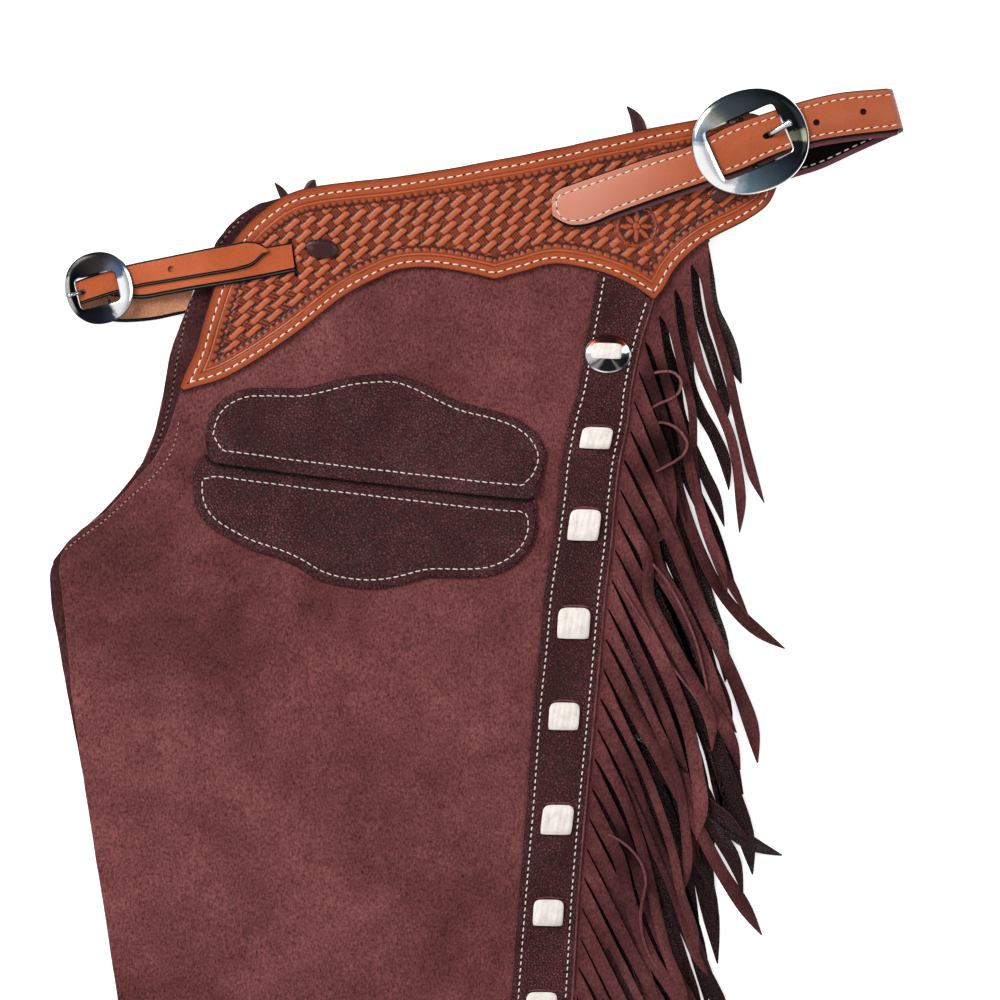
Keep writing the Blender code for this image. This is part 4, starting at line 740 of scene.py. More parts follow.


# plate with painted reflections: light and dark by the angle round the piece, in rings from the rim inwards,
# stops by degrees, and a faint painted glow
def paintedReflectionPlate(name, centre, rings):
    paint = Paint(name, 0.16, 1.0)
    middle = ((centre[0] - originAcross) / 1000.0, (originDown - centre[1]) / 1000.0, 0.0)
    fromMiddle = paint.add("VectorMath", {0: paint.place, 1: middle}, "Vector", operation="SUBTRACT")
    turn = paint.add("TexGradient", {"Vector": fromMiddle}, "Fac", gradient_type="RADIAL")
    cloudy = paint.noise(420.0, 4.0, 0.6, 0.3)
    wander = paint.swing(cloudy, 0.035)
    turnShare = paint.math("ADD", turn, wander)
    reach = paint.math("ADD", paint.read("inward"), wander)
    colour = None
    for limit, soft, stops in rings:
        ring = paint.ramp(turnShare, [(degrees / 360.0 + 0.5, tint) for degrees, tint in stops])
        if colour is None:
            colour = ring
            continue
        blend = paint.add("MapRange", {"From Min": limit - soft, "From Max": limit + soft, "Value": reach},
                          "Result")
        colour = paint.mix(blend, colour, ring)
    paint.coat({"Base Color": colour, "Emission Color": colour, "Emission Strength": 0.2,
                "Normal": paint.bump(cloudy, 0.12, 0.0003)})
    return paint.material


# colours of the painted reflections on the buckles and the concho
white, pale, steel, slate = (250, 250, 250), (188, 190, 190), (120, 135, 150), (74, 88, 98)
coal, black = (44, 47, 50), (16, 17, 19)
rearPlate = paintedReflectionPlate("rear_buckle_painted_reflections", rearPlace, [
    (0.0, 0.0, [(-180, steel), (-125, white), (-108, pale), (-70, white), (40, white), (62, slate),
                (84, black), (140, coal), (165, pale), (180, steel)]),
    (0.05, 0.02, [(-180, (150, 158, 172)), (-172, white), (-112, white), (-106, (168, 182, 192)),
                  (-92, (98, 118, 134)), (-66, slate), (-40, (48, 58, 70)), (-18, (28, 29, 32)),
                  (-1, (28, 29, 32)), (1, (116, 116, 100)), (13, (98, 98, 86)), (15, (24, 25, 27)),
                  (45, (27, 29, 31)), (72, (44, 45, 47)), (95, (58, 66, 71)), (130, (72, 86, 92)),
                  (139, (104, 110, 106)), (147, (156, 157, 142)), (157, pale), (168, (146, 156, 168)),
                  (180, steel)]),
    (0.93, 0.02, [(-180, black), (-150, coal), (-120, slate), (-60, coal), (-38, black), (-33, white),
                  (33, white), (38, pale), (44, black), (140, black), (146, white), (160, pale),
                  (166, black), (180, black)])])
smallPlate = paintedReflectionPlate("small_buckle_painted_reflections", frontPlace, [
    (0.0, 0.0, [(-180, pale), (-120, (150, 150, 146)), (-110, black), (-60, black), (-40, coal), (50, coal),
                (56, pale), (64, coal), (75, black), (150, coal), (165, pale), (180, pale)]),
    (0.05, 0.02, [(-180, (178, 178, 172)), (-140, (166, 166, 160)), (-128, (22, 24, 27)),
                  (-86, (26, 28, 34)), (-63, (52, 54, 68)), (-54, white), (30, white),
                  (38, (104, 124, 158)), (58, (100, 112, 132)), (70, (92, 96, 104)), (82, (62, 61, 60)),
                  (111, (54, 51, 49)), (146, (20, 22, 22)), (158, (40, 42, 40)), (166, (172, 172, 166)),
                  (180, (180, 180, 174))]),
    (0.42, 0.05, [(-180, black), (-140, black), (-128, (20, 22, 25)), (-86, (26, 28, 34)),
                  (-60, (50, 52, 66)), (-50, white), (22, white), (30, (96, 112, 140)),
                  (44, (84, 102, 128)), (62, (96, 106, 124)), (82, (60, 59, 58)), (111, (52, 50, 48)),
                  (150, black), (180, black)]),
    (0.93, 0.02, [(-180, white), (-130, white), (-122, black), (-60, coal), (-30, pale), (30, coal),
                  (60, slate), (66, pale), (84, steel), (92, black), (148, black), (154, white),
                  (180, white)])])
conchoPlate = paintedReflectionPlate("concho_painted_reflections", conchoCentre, [
    (0.0, 0.0, [(-180, coal), (-145, slate), (-128, white), (-100, white), (-84, pale), (-60, pale),
                (-40, coal), (-5, pale), (10, coal), (60, (84, 42, 34)), (110, (58, 30, 32)), (160, coal),
                (180, coal)]),
    (0.07, 0.02, [(-180, (206, 196, 200)), (-158, (196, 188, 190)), (-146, (90, 80, 82)),
                  (-132, (150, 144, 144)), (-116, (30, 33, 33)), (-62, (28, 30, 30)),
                  (-52, (126, 124, 120)), (-44, (40, 42, 42)), (2, (34, 37, 37)), (8, (200, 208, 204)),
                  (20, (210, 214, 210)), (27, (134, 62, 44)), (52, (118, 54, 38)), (62, (72, 38, 40)),
                  (118, (80, 44, 48)), (150, (122, 50, 44)), (160, (150, 96, 92)), (168, (208, 198, 200)),
                  (180, (208, 198, 202))])])


# waxed thread, twisted along the seam
def threadFinish(name, stops):
    paint = Paint(name, 0.6)
    twist = paint.noise(1400.0, 2.0, 0.5, stretch=(1.0, 0.35, 1.0), turn=40.0)
    paint.coat({"Base Color": paint.ramp(twist, stops), "Normal": paint.bump(twist, 0.6, 0.0003),
                "Sheen Weight": 0.15})
    return paint.material


thread = threadFinish("cream_thread", [(0.3, (205, 190, 165)), (0.6, (236, 227, 210)), (0.8, (248, 243, 232))])
threadFaded = threadFinish("faded_thread", [
    (0.3, (86, 62, 56)), (0.52, (130, 104, 92)), (0.8, (186, 168, 150))])
threadRose = threadFinish("rose_thread", [
    (0.3, (140, 92, 90)), (0.55, (176, 130, 126)), (0.8, (208, 172, 166))])
print("finishes ready", len(bpy.data.materials))


# leg leather

legs = {"columns": 77, "perGap": 8, "edge": 0.7, "underStrip": 9.4, "inwards": 12.0, "shorter": 3.0}


# the front edge and the outer seam, which lies hidden under the strip
def legSections(top, leg, hemRise=0.0):
    front, seam = [], []
    for frontAcross, frontDown, seamAcross, seamDown in top:
        if seamAcross is None:
            seamAcross = float(stripRight(seamDown)) - legs["underStrip"]
        front.append((frontAcross, frontDown))
        seam.append((seamAcross, seamDown))
    for down, frontAcross in leg:
        down = min(down, hem - hemRise)
        front.append((frontAcross, down))
        seam.append((float(stripRight(down)) - legs["underStrip"], down))
    return front, seam


# how far the top leather sinks where it rolls over the fold
def rolledDown(plan):
    reach = np.hypot(plan[:, :, 0] - plan[:, :1, 0], plan[:, :, 1] - plan[:, :1, 1])
    belowYoke = ease((plan[:, :1, 1] - 268.0) / 70.0)
    return rimDrop * (1.0 - ease(reach / rimRoll)) * belowYoke


# a little unevenness of a raw cut
def ragged(line, reach, seed):
    draw = np.random.default_rng(seed)
    noise = draw.normal(0.0, 1.0, (len(line), 2))
    noise[1:-1] = (noise[:-2] + 2 * noise[1:-1] + noise[2:]) / 4.0
    return line + noise * reach


def areaOf(plan):
    x, y = outlineOf(plan).T
    return abs(np.sum(x * np.roll(y, -1) - np.roll(x, -1) * y)) / 2.0 / 1e6


def layDown(plan):
    area = areaOf(plan)


frontLine, seamLine = legSections(frontTop, frontLeg)
frontCurve = curveThrough(frontLine, legs["perGap"])
seamCurve = curveThrough(seamLine, legs["perGap"])
shares = np.linspace(0.0, 1.0, legs["columns"]) ** 1.3
plan = between(ragged(frontCurve, 0.22, 3), seamCurve, shares)
x, y = plan[..., 0], plan[..., 1]
top = panelTop(x, y) - rolledDown(plan)
suedeFront = hide("suede_front", plan, top, top - leather["leg"], 4,
                  [suede, suedeEdge, suedeDark], legs["edge"])
finishPiece(suedeFront, "suede", "leg_left_front")
layDown(plan)

innerFront, innerSeam = [], []
for (x0, y0), (x1, y1) in zip(frontLine, seamLine):
    inset = legs["inwards"] / math.hypot(x1 - x0, y1 - y0)
    innerFront.append((x0 + (x1 - x0) * inset, y0 + (y1 - y0) * inset))
    innerSeam.append((x1 - 1.0, y1))
for line in (innerFront, innerSeam):
    line[-1] = (line[-1][0], line[-1][1] - legs["shorter"])
plan = between(ragged(curveThrough(innerFront, 4), 0.3, 4), curveThrough(innerSeam, 4), np.linspace(0, 1, 41))
x, y = plan[..., 0], plan[..., 1]
outer = between(curveThrough(frontLine, 4), curveThrough(seamLine, 4), np.linspace(0, 1, 41))
top = panelTop(x, y) - rolledDown(outer) - leather["leg"] - 1.5 * gap
suedeBacks = hide("suede_backs", plan, top, ground(x, y) + leather["leg"] + 2 * gap, 4,
                  [suedeDark, suedeEdge, suedeDark], 0.8)
finishPiece(suedeBacks, "suede_under", "leg_backs_folded")
layDown(plan)

underFront, underSeam = legSections(underTop, underLeg, legs["shorter"])
underCurve = ragged(curveThrough(underFront, 10), 0.35, 5)
plan = between(underCurve, curveThrough(underSeam, 10), np.linspace(0, 1, 61))
x, y = plan[..., 0], plan[..., 1]
suedeUnder = hide("suede_under_front", plan, ground(x, y) + leather["leg"], ground(x, y), 4,
                  [suedeDark, suedeEdge, suede], 0.7)
finishPiece(suedeUnder, "suede_under", "leg_right_front")
layDown(plan)
print("leg leather laid")


# seats for what is sewn on: the height of a piece straight below a point

class Seat:
    def __init__(self, item, ceiling=200.0):
        mesh = item.data
        work = bmesh.new()
        work.from_mesh(mesh)
        self.tree = BVHTree.FromBMesh(work)
        work.free()
        self.ceiling = ceiling

    def at(self, x, y):
        spot = toWorld([(x, y, self.ceiling)])[0]
        hit = self.tree.ray_cast(Vector(spot), Vector((0, 0, -1)))
        if hit[0] is None:
            return None
        return hit[0].z * 1000.0


# sewing: every stitch is a short length of thread that dives into its two holes

# each row: seat, line, pitch, share of the pitch that the thread covers, slant in degrees
def sew(name, rows, threadMaterial, slot, width=0.95, proud=0.42):
    points, faces, kinds = [], [], []
    sides = 6
    profile = ((-1.0, 0.35, -0.9), (-0.82, 0.85, -0.15), (-0.35, 1.0, 0.32), (0.35, 1.0, 0.32),
               (0.82, 0.85, -0.15), (1.0, 0.35, -0.9))      # along, thickness, height
    angles = [2 * math.pi * k / sides for k in range(sides)]
    for seat, line, pitch, share, slant in rows:
        marks = evenly(line, pitch)
        if len(marks) < 3:
            continue
        turn = math.radians(slant)
        half = pitch * share / 2.0
        for (x, y), (dx, dy) in zip(marks, np.gradient(marks, axis=0)):
            length = math.hypot(dx, dy)
            if length < 0.3 * pitch or length > 3.0 * pitch:
                continue
            dx, dy = dx / length, dy / length
            dx, dy = dx * math.cos(turn) - dy * math.sin(turn), dx * math.sin(turn) + dy * math.cos(turn)
            levels = [seat.at(x + dx * half * end, y + dy * half * end) for end in (-1.0, 0.0, 1.0)]
            if None in levels or abs(levels[0] - levels[2]) > 2.5:
                continue
            first, middle, last = levels
            faces += skinFaces(sides, len(profile), len(points))
            kinds += [0] * ((len(profile) - 1) * sides + 2)
            for along, thick, lift in profile:
                level = first + (last - first) * (along + 1.0) / 2.0
                level = level * abs(along) + middle * (1.0 - abs(along))
                radius = width / 2.0 * thick
                for angle in angles:
                    side = radius * math.cos(angle)
                    points.append((x + dx * half * along - dy * side, y + dy * half * along + dx * side,
                                   level + proud * lift + radius * math.sin(angle) * 0.8))
            # the awl hole beyond the stitch's far end, a dark oval of painted shade
            hx, hy = x + dx * pitch * 0.5, y + dy * pitch * 0.5
            level = seat.at(hx, hy)
            if level is None or abs(level - middle) > 2.0:
                continue
            faces += skinFaces(sides, 2, len(points))
            kinds += [1] * (sides + 2)
            long, wide = pitch * (1.0 - share) * 0.62, width * 0.42
            for deep in (0.05, -0.25):
                for angle in angles:
                    u, v = long * math.cos(angle), wide * math.sin(angle)
                    points.append((hx + dx * u - dy * v, hy + dy * u + dx * v, level + deep))
    item = buildMesh(name, points, faces, [threadMaterial, paintedHoleShade], kinds, sharp=75.0)
    finishPiece(item, slot)


# yokes

yoke = {"perGap": 20, "cells": 113, "stitch": 4.3, "topStitch": 5.9, "padLength": 13.4, "padWidth": 4.9,
        "padTurn": 38.0, "acrossStep": (11.1, -1.6), "downStep": (-3.2, 8.8), "firstPad": (150.0, 215.0),
        "slot": ((193.4, 160.4), (197.4, 183.0)), "rosette": (424.3, 151.0)}

upperLine = curveThrough([row[:2] for row in yokeShape], yoke["perGap"])
lowerLine = curveThrough([row[2:] for row in yokeShape], yoke["perGap"], corners=(16, 25))
plan = between(upperLine, lowerLine, np.linspace(0.0, 1.0, yoke["cells"]))


# basket stamp: slanting rows of pads with hatched gaps between them
def basketWeave(points):
    step = np.array([yoke["acrossStep"], yoke["downStep"]]).T
    back = np.linalg.inv(step)
    local = (points - np.array(yoke["firstPad"])) @ back.T
    turn = math.radians(yoke["padTurn"])
    alongPad = np.array([math.cos(turn), -math.sin(turn)])
    acrossPad = np.array([math.sin(turn), math.cos(turn)])
    halfLong, halfWide, corner = yoke["padLength"] / 2.0, yoke["padWidth"] / 2.0, 2.0
    padInside = np.full(len(points), -9.0)
    hatchInside = np.full(len(points), -9.0)
    hatchAcross = np.zeros(len(points))
    gapStep = (step @ np.array([1.0, -1.0])) / 2.0
    for i in (-1, 0, 1):
        for j in (-1, 0, 1):
            centre = (np.round(local) + (i, j)) @ step.T + np.array(yoke["firstPad"])
            offset = points - centre
            u, v = offset @ alongPad, offset @ acrossPad
            qx = np.abs(u) - (halfLong - corner)
            qy = np.abs(v + 0.25 * np.sin(u * 0.5)) - (halfWide - corner)
            far = np.hypot(np.maximum(qx, 0), np.maximum(qy, 0)) + np.minimum(np.maximum(qx, qy), 0) - corner
            padInside = np.maximum(padInside, -far)
            offset = points - centre - gapStep
            u, v = offset @ alongPad, offset @ acrossPad
            inside = np.minimum(2.5 - np.abs(u), 2.9 - np.abs(v))
            better = inside > hatchInside
            hatchInside = np.where(better, inside, hatchInside)
            hatchAcross = np.where(better, u, hatchAcross)
    padRise = ease((padInside + 0.15) / 1.15)
    bars = 0.5 + 0.5 * np.cos(hatchAcross * 2 * math.pi / 1.55)
    hatch = ease(hatchInside / 0.5) * (1.0 - padRise)
    stamped = -0.95 + hatch * (0.28 + 0.34 * bars)
    weave = stamped * (1.0 - padRise) + padRise * (-0.05 + 0.12 * ease(padInside / 2.4))
    weaveTone = (0.08 + hatch * (0.1 + 0.36 * bars)) * (1.0 - padRise)
    weaveTone = weaveTone + padRise * (0.6 + 0.16 * ease(padInside / 2.0))
    return weave, weaveTone


# plain rosette in the round of the back corner
def rosette(points):
    ax, ay = yoke["rosette"]
    reach = np.hypot(points[:, 0] - ax, points[:, 1] - ay)
    angle = np.arctan2(points[:, 1] - ay, points[:, 0] - ax)
    inRound = 1.0 - ease((reach - 14.3) / 0.7)
    scallop = reach + 0.55 * np.abs(np.sin(angle * 10.0))
    petal = ease((np.abs(np.cos(angle * 4.0)) * 10.6 - reach + 0.6) / 1.1) * ease((reach - 2.4) / 0.8)
    heart = 1.0 - ease((reach - 1.9) / 0.6)
    roundHeight = -0.85 + 0.8 * np.maximum(petal, heart)
    rimHeight = -0.1 - 0.7 * bump(scallop, 12.2, 0.45) - 0.7 * bump(scallop, 14.2, 0.45)
    roundHeight = np.where(scallop > 11.6, rimHeight, roundHeight)
    roundTone = 0.16 + 0.5 * np.clip((roundHeight + 0.85) / 0.85, 0, 1)
    return inRound, roundHeight, roundTone


def toolYoke(plan):
    points = plan.reshape(-1, 2)
    lowerAll = np.vstack([upperLine[:1], lowerLine, upperLine[-1:]])
    farLow, placeLow = lineDistance(points, lowerAll[::4])
    farUp, placeUp = lineDistance(points, upperLine[::4])
    nearUp = farUp - 1.6 < farLow
    edge = np.where(nearUp, farUp - 1.6, farLow)
    place = np.where(nearUp, placeUp, placeLow)
    height = np.zeros(len(points))
    tone = np.full(len(points), 0.58)
    # border: sewing channel, creaser lines, row of crescents
    height -= 0.3 * bump(edge, 4.2, 0.6)
    height -= 0.34 * bump(edge, 8.35, 0.42) + 0.34 * bump(edge, 10.0, 0.42)
    height += 0.1 * bump(edge, 9.2, 0.4)
    tone += 0.24 * bump(edge, 9.2, 0.5) - 0.26 * bump(edge, 8.2, 0.45) - 0.24 * bump(edge, 10.2, 0.45)
    tone -= 0.1 * (1.0 - ease(edge / 2.2))
    pitch = 5.0
    cell = np.mod(place, pitch) - pitch / 2.0
    ring = np.hypot(cell, edge - 11.6)
    inBorder = ease((edge - 10.7) / 0.6)
    crescent = bump(ring, 2.7, 0.85) * inBorder
    grooveLines = bump(ring, 1.5, 0.4) * inBorder * 0.5
    weave, weaveTone = basketWeave(points)
    inWeave = ease((edge - 13.9) / 1.3)
    height += inWeave * weave
    tone = tone * (1.0 - inWeave) + inWeave * weaveTone
    height -= 0.75 * crescent + 0.3 * grooveLines
    tone = tone * (1.0 - 0.95 * crescent) + 0.1 * crescent - 0.14 * grooveLines
    inRound, roundHeight, roundTone = rosette(points)
    height = height * (1.0 - inRound) + roundHeight * inRound
    tone = tone * (1.0 - inRound) + roundTone * inRound
    # slot that the front strap comes out of: cut down, and darkened with painted shade
    slotFar, _ = lineDistance(points, np.array(yoke["slot"]))
    cut = 1.0 - ease((slotFar - 0.7) / 0.7)
    height -= 1.5 * cut + 0.35 * bump(slotFar, 2.2, 0.8)
    tone = tone * (1.0 - cut)
    tone = tone * ease((np.minimum(farUp, farLow) - 0.25) / 0.6)      # burnished rim
    return height.reshape(plan.shape[:2]), np.clip(tone, 0.0, 1.0).reshape(plan.shape[:2])


tooling, tone = toolYoke(plan)
level = onPanel(plan[..., 0], plan[..., 1])
yokeLeft = hide("yoke_tooled", plan, level + leather["yoke"] + tooling, level, 4,
                [tooled, blackEdge, fleshSide], 0.45, {"tone": tone})
finishPiece(yokeLeft, "tooled", "yoke_left")
yokeSeat = Seat(yokeLeft)

coarse = plan[::8, ::8]
flat = np.zeros(coarse.shape[:2])
yokeRight = hide("yoke_lower", coarse, flat + leather["yoke"], flat, 2, [fleshSide, blackEdge, tooled], 0.6,
                 {"tone": np.full(coarse.shape[:2], 0.56)})
finishPiece(yokeRight, "yoke_under", "yoke_right")

outline = np.vstack([upperLine, lowerLine[::-1]])
insets = np.concatenate([np.full(len(upperLine), yoke["topStitch"]), np.full(len(lowerLine), yoke["stitch"])])
yokeSeam = insetLine(outline, insets)
yokeSeam = np.vstack([yokeSeam, yokeSeam[:1]])
sew("yoke_sewing", [(yokeSeat, row, 6.2, 0.72, -4.0) for row in seamRows(yokeSeam)], thread, "tooled", 1.05)
print("yokes tooled and sewn")


# trim strips down the outer seam

strip = {"columns": 25, "pitch": 2.0, "stitch": 5.0, "stitchPitch": 4.5, "rawCut": 1.1, "wide": 37.0,
         "top": (398.8, 436.0), "topDown": 181.0, "levelBelow": 229.0}
bandSizes = [(20.6, 14.6), (20.8, 21.0), (21.4, 20.8), (20.2, 18.4), (20.8, 20.0), (20.0, 17.6),
             (20.6, 19.2), (20.2, 18.4), (20.8, 19.6), (20.2, 18.0), (20.6, 19.0), (20.0, 18.6)]
bandRise = 1.7


def stripTurn(down):
    return math.atan2(float(stripLeft(down + 20) - stripLeft(down - 20)), 40.0)


# the upper end follows the yoke's lower edge, the rows lie level further down
def stripPlan(columns, pitch):
    f = np.linspace(0.0, 1.0, columns)
    f[-2] = 1.0 - strip["rawCut"] / strip["wide"]       # the raw cut is a narrow column of its own
    topLeft, topRight = strip["top"]
    levelDown = strip["levelBelow"]
    firstDown = yokeLower(topLeft + (topRight - topLeft) * f) - 0.5
    rows = []
    count = stepTo(int((levelDown - strip["topDown"]) / pitch), 4)
    for t in np.linspace(0.0, 1.0, count)[:-1]:
        rows.append(firstDown * (1 - t) + levelDown * t)
    count = stepTo(int((hem - levelDown) / pitch), 4)
    for down in np.linspace(levelDown, hem, count):
        rows.append(np.full(columns, down))
    down = np.array(rows)
    left, right = stripLeft(down), stripRight(down)
    return np.dstack([left + (right - left) * f, down])


plan = stripPlan(strip["columns"], strip["pitch"])
x, y = plan[..., 0], plan[..., 1]
fromEdge = np.minimum(x - stripLeft(y), stripRight(y) - x)
top = onPanel(x, y) + leather["trim"] - 0.45 * (1.0 - ease(fromEdge / 2.2))
top = top - 0.22 * bump(fromEdge, strip["stitch"], 0.8)
for (across, down), (width, length) in zip(bandCentres, bandSizes):
    turn = stripTurn(down)
    u = x - across - (y - down) * math.sin(turn)
    v = y - down + u * math.sin(0.2 * turn)
    inside = 1.0 - ease((np.abs(u) - 9.0) / 2.0)
    top -= 0.9 * np.exp(-((np.abs(v) - length / 2) / 0.9) ** 2) * inside
    top += 0.3 * np.exp(-((np.abs(v) - length / 2 - 2.6) / 1.3) ** 2) * inside
stripLeather = hide("strip_upper", plan, top, onPanel(x, y), 4, [oxblood, suedeEdge, suedeDark], 0.3,
                    cutColumns=1)
finishPiece(stripLeather, "trim", "strip_left")
stripSeat = Seat(stripLeather)
stripSeams = []
for start, edgeOf, inwards in ((184.0, stripLeft, strip["stitch"]), (201.0, stripRight, -strip["stitch"])):
    downs = np.arange(start, hem - 1.0, 3.0)
    seam = np.stack([edgeOf(downs) + inwards, downs], 1)
    stripSeams.append((stripSeat, seam, strip["stitchPitch"], 0.66, 6.0))
sew("strip_sewing", stripSeams, thread, "trim")

plan = stripPlan(9, 12.0)
flat = np.zeros(plan.shape[:2])
stripLower = hide("strip_lower", plan, flat + leather["trim"], flat, 4, [suedeDark, suedeEdge, oxblood], 0.5)
finishPiece(stripLower, "trim", "strip_right")
print("strips sewn on")


# pocket and its flap

pocket = {"perGap": 8, "cells": 45, "seamDent": 6.0, "stitchPitch": 5.0, "stitchShare": 0.78, "slant": 4.0,
          "seamInsets": (6.0, 6.0, 6.0, 14.6), "flapSeamInsets": (6.4, 8.8, 6.4, 5.4)}


# the rim is rounded off, the seam pulls a dent, and the middle swells
def puffed(edge):
    return (0.55 * ease((edge - 6.6) / 9.0) - 0.42 * bump(edge, pocket["seamDent"], 1.1)
            - 1.0 * (1.0 - ease(edge / 2.6)))


# a closed seam with its corners rounded
def softened(line, times):
    line = evenly(line, 1.5, True)
    for _ in range(times):
        line = (np.roll(line, 1, 0) + 2.0 * line + np.roll(line, -1, 0)) / 4.0
    return np.vstack([line, line[:1]])


# how dark the leather is at its points, by their place in the lay
def shadeLeather(item, shadeAt):
    spots = [(vert.co.x * 1000.0 + originAcross, originDown - vert.co.y * 1000.0)
             for vert in item.data.vertices]
    addShade(item.data, "tone", shadeAt(np.array(spots)))


# plan of a scalloped piece, its heights above the leg and the distance to its edge
def scalloped(shape):
    plan = shapedPlan(shape, pocket["perGap"], share)
    outline = outlineOf(plan)
    edge, _ = lineDistance(plan.reshape(-1, 2), np.vstack([outline, outline[:1]]))
    return plan, onPanel(plan[..., 0], plan[..., 1]), edge.reshape(plan.shape[:2])


# the seam inside the outline, by its distance from each of the four sides
def seamInside(plan, sides, times):
    rows, cells = plan.shape[:2]
    insets = np.repeat(sides, (cells, rows - 1, cells - 1, rows - 2))
    return softened(insetLine(outlineOf(plan), insets), times)


share = np.linspace(0.0, 1.0, pocket["cells"])
pocketLayers = [oxbloodPocket, blackEdge, suedeDark]
flapEdge = curveThrough([row[2:] for row in flapShape], pocket["perGap"])


def shadeUnderFlap(spots):
    fromFlap, _ = lineDistance(spots, flapEdge + (0.0, 1.1))
    return 1.0 - 0.86 * bump(fromFlap, 0.0, 1.5)


plan, level, edge = scalloped(pocketShape)
pouch = level + leather["trim"] + puffed(edge) * ease((share - 0.15) / 0.2)[None, :] - 0.1
fromFlap, _ = lineDistance(plan.reshape(-1, 2), flapEdge + (0.0, 0.9))
pouch -= 1.1 * bump(fromFlap.reshape(edge.shape), 0.0, 1.9)
pocketBody = hide("pocket_body", plan, pouch, level, 4, pocketLayers, 0.35)
shadeLeather(pocketBody, shadeUnderFlap)
finishPiece(pocketBody, "pocket", "pocket_left")
pocketSeam = seamInside(plan, pocket["seamInsets"], 16)

plan, level, edge = scalloped(flapShape)
lift = (leather["trim"] + gap + 0.2) * ease((share - 0.16) / 0.66)[None, :]
flapTop = level + lift + leather["trim"] + puffed(edge)
flapTop += 0.8 * (1.0 - ease(edge / 2.6)) * ease((share - 0.8) / 0.12)[None, :]
flap = hide("pocket_flap", plan, flapTop, level + lift, 4, pocketLayers, 0.35)
shadeLeather(flap, lambda spots: np.ones(len(spots)))
finishPiece(flap, "pocket", "pocket_flap_left")
flapSeam = seamInside(plan, pocket["flapSeamInsets"], 3)
pocketSeams = []
for piece, seam in ((pocketBody, pocketSeam), (flap, flapSeam)):
    pocketSeams.append((Seat(piece), seam, pocket["stitchPitch"], pocket["stitchShare"], pocket["slant"]))
sew("pocket_sewing", pocketSeams, thread, "pocket", 0.8, 0.36)
print("pocket puffed and sewn")


# closed lofts through rings of points

def loft(name, rings, materials, closedPath=False, kinds=None, sharp=40.0, tones=None):
    points = [tuple(p) for ring in rings for p in ring]
    sides = len(rings[0])
    faces = skinFaces(sides, len(rings), closed=closedPath)
    faceKinds = [kinds(k % sides) if kinds else 0 for k in range(len(faces))]
    if not closedPath:
        faceKinds[-2:] = [0, 0]
    return buildMesh(name, points, faces, materials, faceKinds, sharp=sharp, tones=tones)


# rings of points round a path
def tube(path, radii, sides=12):
    rings = []
    path = [Vector(p) for p in path]
    for i, spot in enumerate(path):
        forward = (path[min(i + 1, len(path) - 1)] - path[max(i - 1, 0)]).normalized()
        up = Vector((0, 0, 1)) if abs(forward.z) < 0.95 else Vector((1, 0, 0))
        side = forward.cross(up).normalized()
        up = side.cross(forward)
        rings.append([spot + (side * math.cos(a) + up * math.sin(a)) * radii[i]
                      for a in (2 * math.pi * (k + 0.5) / sides for k in range(sides))])
    return rings


def joinPieces(name, items):
    bpy.ops.object.select_all(action="DESELECT")
    for item in items:
        item.select_set(True)
    bpy.context.view_layer.objects.active = items[0]
    bpy.ops.object.join()
    items[0].name = name
    items[0].data.name = name
    return items[0]


# white bands down the strip

def whiteBand(name, across, down, seat, width, length, rise, seed):
    draw = random.Random(seed)
    turn = stripTurn(down)
    level = 0.2 * turn       # its ends stay nearly level while its sides lean with the strip
    cells = 29
    phase = [draw.uniform(0, 6.28) for _ in range(3)]
    lean = draw.uniform(-0.25, 0.25)
    belly = draw.uniform(-0.4, 0.4)
    rows = []
    for i in range(cells):
        s = -1.0 + 2.0 * i / (cells - 1)
        row = []
        for j in range(cells):
            f = -1.0 + 2.0 * j / (cells - 1)
            pull = 1.0 - (0.16 if s < 0 else 0.06) * abs(s) ** 6      # corners drawn in at the slits
            u = width / 2 * f * pull + belly * s
            v = length / 2 * s * (1.0 - (0.1 if s < 0 else 0.04) * abs(f) ** 5)
            x = across + u * math.cos(level) + v * math.sin(turn)
            y = down - u * math.sin(level) + v * math.cos(turn)
            arch = rise * (1.0 - abs(s) ** 3.2)
            wrinkle = 0.13 * math.sin(f * 6.5 + lean * s * 4 + phase[0])
            wrinkle += (0.1 * math.sin(f * 17 + s * 1.6 + phase[1])
                        + 0.05 * math.sin(f * 31 - s * 2.2 + phase[0]))
            wrinkle += 0.08 * math.sin(s * 5 + f * 2 + phase[2])
            rim = 0.75 * abs(f) ** 7
            row.append((x, y, seat(x, y) + arch + (wrinkle * (1 - abs(s) ** 6)) + 1.2 - rim))
        rows.append(row)
    grid = np.array(rows)
    low = np.array([[seat(p[0], p[1]) + rise * (1.0 - abs(-1 + 2 * i / (cells - 1)) ** 3.2) * 0.8 for p in row]
                    for i, row in enumerate(rows)])
    return hide(name, grid[..., :2], grid[..., 2], np.minimum(low, grid[..., 2] - 0.5), 4, [rawhide], 0.3)


def stripTopAt(x, y):
    return float(onPanel(x, y)) + leather["trim"] + 0.3


for number, ((across, down), (width, length)) in enumerate(zip(bandCentres, bandSizes)):
    bandName = f"band_{number + 1:02d}"
    band = whiteBand("white_" + bandName, across, down, stripTopAt, width, length, bandRise, number)
    finishPiece(band, "rawhide", bandName)
